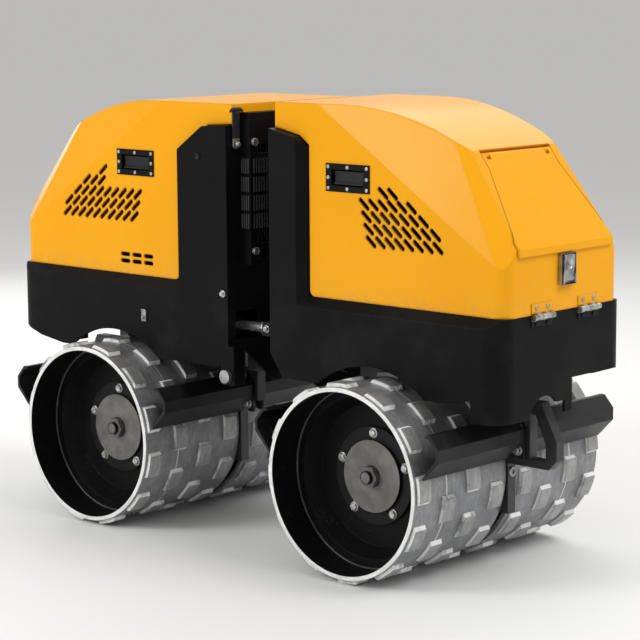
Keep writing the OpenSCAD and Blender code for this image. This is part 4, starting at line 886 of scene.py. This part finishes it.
# %% One bolt, one metre wide
bpy.ops.object.select_all(action="DESELECT")
bpy.ops.mesh.primitive_cylinder_add(vertices=6, radius=0.5, depth=0.40, location=(0, 0, 0.32))
head = bpy.context.object
pick_faces(head, lambda centre, normal: normal.z > 0.9)
bpy.ops.mesh.inset(thickness=0.07)
bpy.ops.transform.translate(value=(0, 0, 0.05))
bpy.ops.mesh.inset(thickness=0.12)
bpy.ops.transform.translate(value=(0, 0, -0.03))
bpy.ops.object.mode_set(mode="OBJECT")
bpy.ops.object.select_all(action="DESELECT")
bpy.ops.mesh.primitive_cylinder_add(vertices=28, radius=0.68, depth=0.13, location=(0, 0, 0.065))
washer = bpy.context.object
pick_faces(washer, lambda centre, normal: normal.z > 0.9)
bpy.ops.mesh.bevel(offset=0.035, segments=2, affect="EDGES")
bpy.ops.object.mode_set(mode="OBJECT")
bolt_model = settle(join(head, washer), "bolt_model", zinc)
print("bolt model:", len(bolt_model.data.polygons), "faces")

# %% [markdown]
# ## Where the bolts stand
#
# Two bolts hold each scraper bracket to the carrier, one pair beside each drum's inner and outer
# scraper. A single bolt shows on each carrier under the floor, and single bolts close the lower
# corner of the rear tower. Heads that all point the same way look stamped, so a bolt is given a
# turn about its own axis as well.

# %% Bolts on carriers and tower
SCRAPER_BOLT_X = 0.304
SCRAPER_BOLT_Z = (0.348, 0.408)
BRACKET_FACE_Y = 0.024
CARRIER_FACE_Y = 0.016
SIDE_FACE_Y = 0.278
CARRIER_BOLT_X = 0.652
CARRIER_BOLT_Z = 0.458
TOWER_BOLT_X = -0.0464
TOWER_BOLT_Z = 0.7193
BRACKET_BOLT_D = 0.0235
CARRIER_BOLT_D = 0.0220
TOWER_BOLT_D = 0.0150
bolt_count = 0
for unit, sign in UNITS:
    for side, turn in SIDES:
        facing = (0, turn, 0)
        for end, along in (("inner", -1), ("outer", 1)):
            for level, z in zip(("low", "high"), SCRAPER_BOLT_Z):
                place = (sign * (AXLE_X + along * SCRAPER_BOLT_X), turn * BRACKET_FACE_Y, z)
                stand(bolt_model, f"{unit}_bracket_bolt_{side}_{end}_{level}", place, facing,
                      BRACKET_BOLT_D, unit + "_unit", 3.0 * z)
                bolt_count += 1
        place = (sign * CARRIER_BOLT_X, turn * CARRIER_FACE_Y, CARRIER_BOLT_Z)
        stand(bolt_model, f"{unit}_carrier_bolt_{side}", place, facing, CARRIER_BOLT_D,
              unit + "_unit", 0.4)
        bolt_count += 1
for side, turn in SIDES:
    place = (TOWER_BOLT_X, turn * SIDE_FACE_Y, TOWER_BOLT_Z)
    stand(bolt_model, f"tower_bolt_{side}", place, (0, turn, 0), TOWER_BOLT_D,
          "rear_unit", 0.2)
    bolt_count += 1
print("bolts placed:", bolt_count)

# %% [markdown]
# ## Washers under the hub bolts
#
# The five bolts of each hub stand on round washers of darker steel, which set the bright heads off.
# A washer is a short cylinder whose top face is inset and lifted a little, so that its rim slopes
# and catches the light, and it turns with its drum.

# %% Hub washers
HUB_BOLT_R = 0.118
HUB_FLANGE_FACE_Y = 0.262
HUB_BOLTS = 5
WASHER_D = 0.029
bpy.ops.object.select_all(action="DESELECT")
bpy.ops.mesh.primitive_cylinder_add(vertices=32, radius=0.5, depth=0.09, location=(0, 0, 0.045))
hub_washer = bpy.context.object
pick_faces(hub_washer, lambda centre, normal: normal.z > 0.9)
bpy.ops.mesh.inset(thickness=0.06)
bpy.ops.transform.translate(value=(0, 0, 0.03))
hub_washer = settle(hub_washer, "hub_washer_model", machined)
for unit, sign in UNITS:
    for side, turn in SIDES:
        for index in range(HUB_BOLTS):
            angle = math.radians(90 + index * 360 / HUB_BOLTS)
            place = (
                sign * (AXLE_X + HUB_BOLT_R * math.cos(angle)),
                turn * HUB_FLANGE_FACE_Y,
                AXLE_Z + HUB_BOLT_R * math.sin(angle),
            )
            stand(hub_washer, f"{unit}_hub_washer_{side}_{index}", place, (0, turn, 0), WASHER_D,
                  f"{unit}_drum_{side}")
bpy.data.objects.remove(hub_washer)
print("hub washers:", 4 * HUB_BOLTS)

# %% [markdown]
# ## Weld beads inside the drums
#
# The dished web is welded to the drum shell all the way round, and the bead catches a broken bright
# line of light. A thin torus gives the bead, and a small random shift of its vertices makes it
# uneven like a weld laid by hand. It belongs to the drum and turns with it.

# %% Weld beads
BEAD_R = 0.2468
BEAD_THICK = 0.0030
for unit, sign in UNITS:
    for side, turn in SIDES:
        bpy.ops.object.select_all(action="DESELECT")
        bpy.ops.mesh.primitive_torus_add(
            major_radius=BEAD_R, minor_radius=BEAD_THICK, major_segments=180, minor_segments=8,
            location=(sign * AXLE_X, turn * (WEB_RIM_Y + 0.0012), AXLE_Z),
            rotation=(math.pi / 2, 0, 0),
        )
        bead = bpy.context.object
        bpy.ops.object.mode_set(mode="EDIT")
        bpy.ops.mesh.select_all(action="SELECT")
        bpy.ops.transform.vertex_random(offset=0.0006, uniform=0.2, seed=3)
        settle(bead, f"{unit}_weld_bead_{side}", bead_paint, 60)
        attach(bead, f"{unit}_drum_{side}")
print("weld beads: 4")

# %% [markdown]
# ## Side clips
#
# A small clip is bolted to the side plate of the rear unit, one on each side. It starts as a flat
# cube, whose top is drawn up and outwards into a lip before all its edges are rolled over. A bevel
# by hand on so small a piece pays, because the rolled edges are what glints.

# %% Side clips
CLIP_X = -0.374
CLIP_Z = 0.6235
CLIP_BOLT_D = 0.0105
for side, turn in SIDES:
    bpy.ops.object.select_all(action="DESELECT")
    bpy.ops.mesh.primitive_cube_add(size=1, location=(CLIP_X, turn * (SIDE_FACE_Y + 0.002), CLIP_Z),
                                    scale=(0.019, 0.004, 0.030))
    clip = bpy.context.object
    pick_faces(clip, lambda centre, normal: normal.z > 0.9)
    bpy.ops.mesh.extrude_region_move(TRANSFORM_OT_translate={"value": (0, turn * 0.0015, 0.006)})
    bpy.ops.object.mode_set(mode="EDIT")
    bpy.ops.mesh.select_all(action="SELECT")
    bpy.ops.mesh.bevel(offset=0.0008, segments=2)
    settle(clip, f"side_clip_{side}", zinc)
    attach(clip, "rear_unit")
    place = (CLIP_X, turn * (SIDE_FACE_Y + 0.004), CLIP_Z - 0.004)
    stand(bolt_model, f"clip_bolt_{side}", place, (0, turn, 0), CLIP_BOLT_D,
          "rear_unit", 0.5)
print("side clips: 2")

# %% [markdown]
# ## Plugs high on the tower
#
# A flat rubber plug with a raised rim closes a round hole on each side of the rear tower. A disc
# does it whose face is inset twice, moved out for the rim and then back in, which costs few faces
# and needs no extra piece.

# %% Tower plugs
TOWER_PLUG_R = 0.009
TOWER_PLUG_X = -0.1407
TOWER_PLUG_Z = 1.1035
for side, turn in SIDES:
    bpy.ops.object.select_all(action="DESELECT")
    bpy.ops.mesh.primitive_cylinder_add(
        vertices=36, radius=TOWER_PLUG_R, depth=0.003,
        location=(TOWER_PLUG_X, turn * (SIDE_FACE_Y + 0.0015), TOWER_PLUG_Z),
        rotation=(-turn * math.pi / 2, 0, 0),
    )
    plug = bpy.context.object
    pick_faces(plug, lambda centre, normal: normal.z > 0.9)
    bpy.ops.mesh.inset(thickness=0.0015)
    bpy.ops.transform.translate(value=(0, turn * 0.0010, 0))
    bpy.ops.mesh.inset(thickness=0.0020)
    bpy.ops.transform.translate(value=(0, -turn * 0.0012, 0))
    settle(plug, f"tower_plug_{side}", rubber)
    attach(plug, "rear_unit")
print("tower plugs: 2")

# %% [markdown]
# ## Filler plugs on the carrier legs
#
# Between the drum halves, on the outer edge of each carrier leg, sits a round plug with a dark
# socket. It is a disc whose middle is inset and pushed back to make the socket.

# %% Filler plugs
FILLER_PLUG_R = 0.0145
FILLER_PLUG_X = 0.773
FILLER_PLUG_Z = 0.279
for unit, sign in UNITS:
    bpy.ops.object.select_all(action="DESELECT")
    bpy.ops.mesh.primitive_cylinder_add(
        vertices=40, radius=FILLER_PLUG_R, depth=0.006,
        location=(sign * FILLER_PLUG_X, 0, FILLER_PLUG_Z),
        rotation=(0, sign * math.pi / 2, 0),
    )
    ring = bpy.context.object
    pick_faces(ring, lambda centre, normal: normal.z > 0.9)
    bpy.ops.mesh.inset(thickness=0.0020)
    bpy.ops.transform.translate(value=(sign * 0.0015, 0, 0))
    bpy.ops.mesh.inset(thickness=0.0060)
    bpy.ops.mesh.inset(thickness=0.0006)
    bpy.ops.transform.translate(value=(-sign * 0.0045, 0, 0))
    settle(ring, f"{unit}_filler_plug", machined)
    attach(ring, unit + "_unit")
print("filler plugs: 2")

# %% [markdown]
# ## Grips of the hood catches
#
# Each hood is held down by a rubber strap that is pulled by a T grip. The grip is a short bar
# across the strap with its ends drawn out and swept down, so that two fingers hold it. Extruding
# the two end faces twice, and shrinking them each time, gives that bend without a curve. A pivot
# screw with a washer closes the strap's foot.

# %% Catch grips
CATCH_X = {"rear": -0.020, "front": 0.130}
CATCH_Y = 0.242
GRIP_Z = 1.2385
CATCH_SCREW_Z = 1.142
CATCH_SCREW_D = 0.0130
for unit, sign in UNITS:
    catch_x = CATCH_X[unit]
    bpy.ops.object.select_all(action="DESELECT")
    bpy.ops.mesh.primitive_cylinder_add(
        vertices=20, radius=0.0060, depth=0.024, location=(catch_x, sign * CATCH_Y, GRIP_Z),
        rotation=(math.pi / 2, 0, 0),
    )
    grip = bpy.context.object
    for end in (-1, 1):
        pick_faces(grip, lambda centre, normal: normal.z * end > 0.9)
        drawn_out = {"value": (0, -end * 0.0070, -0.0010)}
        bpy.ops.mesh.extrude_region_move(TRANSFORM_OT_translate=drawn_out)
        bpy.ops.transform.resize(value=(0.86, 0.86, 0.86))
        swept_down = {"value": (0, -end * 0.0050, -0.0035)}
        bpy.ops.mesh.extrude_region_move(TRANSFORM_OT_translate=swept_down)
        bpy.ops.transform.resize(value=(0.72, 0.72, 0.72))
        bpy.ops.object.mode_set(mode="OBJECT")
    settle(grip, f"{unit}_catch_grip", rubber, 60)
    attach(grip, unit + "_hood_hook")
    place = (catch_x - sign * 0.005, sign * CATCH_Y, CATCH_SCREW_Z)
    stand(bolt_model, f"{unit}_catch_screw", place, (-sign, 0, 0), CATCH_SCREW_D,
          unit + "_hood_hook", 0.1)
print("catch grips and screws: 2 of each")

# %% [markdown]
# ## Key boss of the flap latch
#
# The lever of the latch is stamped stainless sheet. A round boss with a sunken ring stands on it
# and carries the key barrel, which glints. It is a disc whose face is inset and pushed in and out
# in turn.

# %% Latch bosses
BOSS_R = 0.0135
BOSS_X = 0.9575
BOSS_Z = 0.8590
for unit, sign in UNITS:
    bpy.ops.object.select_all(action="DESELECT")
    bpy.ops.mesh.primitive_cylinder_add(
        vertices=40, radius=BOSS_R, depth=0.003, location=(sign * BOSS_X, 0, BOSS_Z),
        rotation=(0, sign * math.pi / 2, 0),
    )
    boss = bpy.context.object
    pick_faces(boss, lambda centre, normal: normal.z > 0.9)
    bpy.ops.mesh.inset(thickness=0.0020)
    bpy.ops.mesh.inset(thickness=0.0015)
    bpy.ops.transform.translate(value=(-sign * 0.0016, 0, 0))
    bpy.ops.mesh.inset(thickness=0.0030)
    bpy.ops.mesh.inset(thickness=0.0010)
    bpy.ops.transform.translate(value=(sign * 0.0022, 0, 0))
    bpy.ops.mesh.inset(thickness=0.0030)
    bpy.ops.transform.translate(value=(-sign * 0.0012, 0, 0))
    settle(boss, f"{unit}_latch_boss", zinc)
    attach(boss, unit + "_flap_latch")
print("latch bosses: 2")

# %% [markdown]
# ## Pressed frame round the latch
#
# The latch sits in a shallow pressed box of stainless sheet with a rolled rim. A flat cube gives
# it: the front face is inset to leave the rim, then pushed back to the hood's end wall. The latch
# turns inside it, so the frame rides on the hood and not on the latch.

# %% Latch frames
LATCH_X = 0.9490
LATCH_Z = 0.8475
LATCH_BOX = (0.0140, 0.0625, 0.0830)
for unit, sign in UNITS:
    bpy.ops.object.select_all(action="DESELECT")
    bpy.ops.mesh.primitive_cube_add(size=1, location=(sign * LATCH_X, 0, LATCH_Z),
                                    scale=LATCH_BOX)
    box = bpy.context.object
    bpy.ops.object.transform_apply(location=False, rotation=False, scale=True)
    pick_faces(box, lambda centre, normal: normal.x * sign > 0.9)
    bpy.ops.mesh.inset(thickness=0.0025)
    bpy.ops.transform.translate(value=(-sign * 0.0125, 0, 0))
    settle(box, f"{unit}_latch_frame", stainless)
    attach(box, unit + "_hood")
print("latch frames: 2")

# %% [markdown]
# ## Grille bars over the cooler guard
#
# Thin upright bars stand in short rows over the openings of the cooler guard, on its face and on
# both its flanks. One bar is modelled once, a slim cube whose front edges are rolled over and whose
# ends are drawn in, and each row is that bar copied along the guard and joined to one piece. Real
# bars are used rather than a texture, because the light has to fall between them onto the cooler.

# %% One grille bar
BAR_SIZE = (0.0040, 0.0420, 0.0020)
bpy.ops.object.select_all(action="DESELECT")
bpy.ops.mesh.primitive_cube_add(size=1, location=(0, 0, 0.0008), scale=BAR_SIZE)
bar_model = bpy.context.object
bpy.ops.object.transform_apply(location=True, rotation=False, scale=True)
pick_faces(bar_model, lambda centre, normal: normal.z > 0.9)
bpy.ops.mesh.extrude_region_move(TRANSFORM_OT_translate={"value": (0, 0, 0.0006)})
bpy.ops.transform.resize(value=(0.62, 0.96, 1), center_override=(0, 0, 0.0024))
bpy.ops.mesh.bevel(offset=0.0003, segments=1)
settle(bar_model, "bar_model", bar_metal)
print("grille bar:", len(bar_model.data.polygons), "faces")

# %% Rows of grille bars
GUARD_FACE_X = 0.012
GUARD_HALF_Y = 0.222
ROW_Z = (0.924, 0.976, 1.028, 1.080)
FLANK_X = (-0.0200, -0.0115, -0.0030, 0.0055)
FACE_Y = [-0.2080 + 0.0104 * step for step in range(41)]
quarter = math.radians(90)
facing_right = Matrix.Rotation(quarter, 4, "X")
FACING = {
    "right": facing_right,
    "left": Matrix.Rotation(2 * quarter, 4, "Z") @ facing_right,
    "face": Matrix.Rotation(quarter, 4, "Y") @ Matrix.Rotation(quarter, 4, "Z"),
}
for level, z in enumerate(ROW_Z):
    places = {
        "right": [(x, -GUARD_HALF_Y, z) for x in FLANK_X],
        "left": [(x, GUARD_HALF_Y, z) for x in FLANK_X],
        "face": [(GUARD_FACE_X, y, z) for y in FACE_Y],
    }
    for side, upright in FACING.items():
        bars = []
        for place in places[side]:
            bar = bar_model.copy()
            bar.data = bar_model.data.copy()
            bar.data.transform(Matrix.Translation(place) @ upright)
            bpy.context.scene.collection.objects.link(bar)
            bars.append(bar)
        row = join(*bars)
        row.name = row.data.name = f"guard_bars_{side}_{level}"
        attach(row, "rear_unit")
bpy.data.objects.remove(bar_model)
print("grille rows:", len(ROW_Z) * len(FACING))

# %% [markdown]
# ## Locknut on the steering rod
#
# The fork is screwed onto the cylinder rod and held by a thin locknut. A six-sided disc with both
# rims chamfered does it, and it slides with the rod. A bolt head is sunk into the fork's side, flat
# enough to pass the tower's window when the machine is steered all the way.

# %% Locknut and fork bolt
LOCKNUT_R = 0.0185
LOCKNUT_X = 0.042
ROD_Y = -0.200
ROD_Z = 0.622
FORK_BOLT_D = 0.0170
FORK_BOLT_PLACE = (0.0630, -0.2139, ROD_Z)
bpy.ops.object.select_all(action="DESELECT")
bpy.ops.mesh.primitive_cylinder_add(
    vertices=6, radius=LOCKNUT_R, depth=0.010, location=(LOCKNUT_X, ROD_Y, ROD_Z),
    rotation=(0, math.pi / 2, 0),
)
locknut = bpy.context.object
pick_faces(locknut, lambda centre, normal: abs(normal.z) > 0.9)
bpy.ops.mesh.bevel(offset=0.0014, segments=2, affect="EDGES")
settle(locknut, "rod_locknut", zinc)
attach(locknut, "steering_rod")
stand(bolt_model, "fork_bolt", FORK_BOLT_PLACE, (0, -1, 0), FORK_BOLT_D, "steering_rod",
      0.2)
bpy.data.objects.remove(bolt_model)
print("locknut and fork bolt: 1 of each")
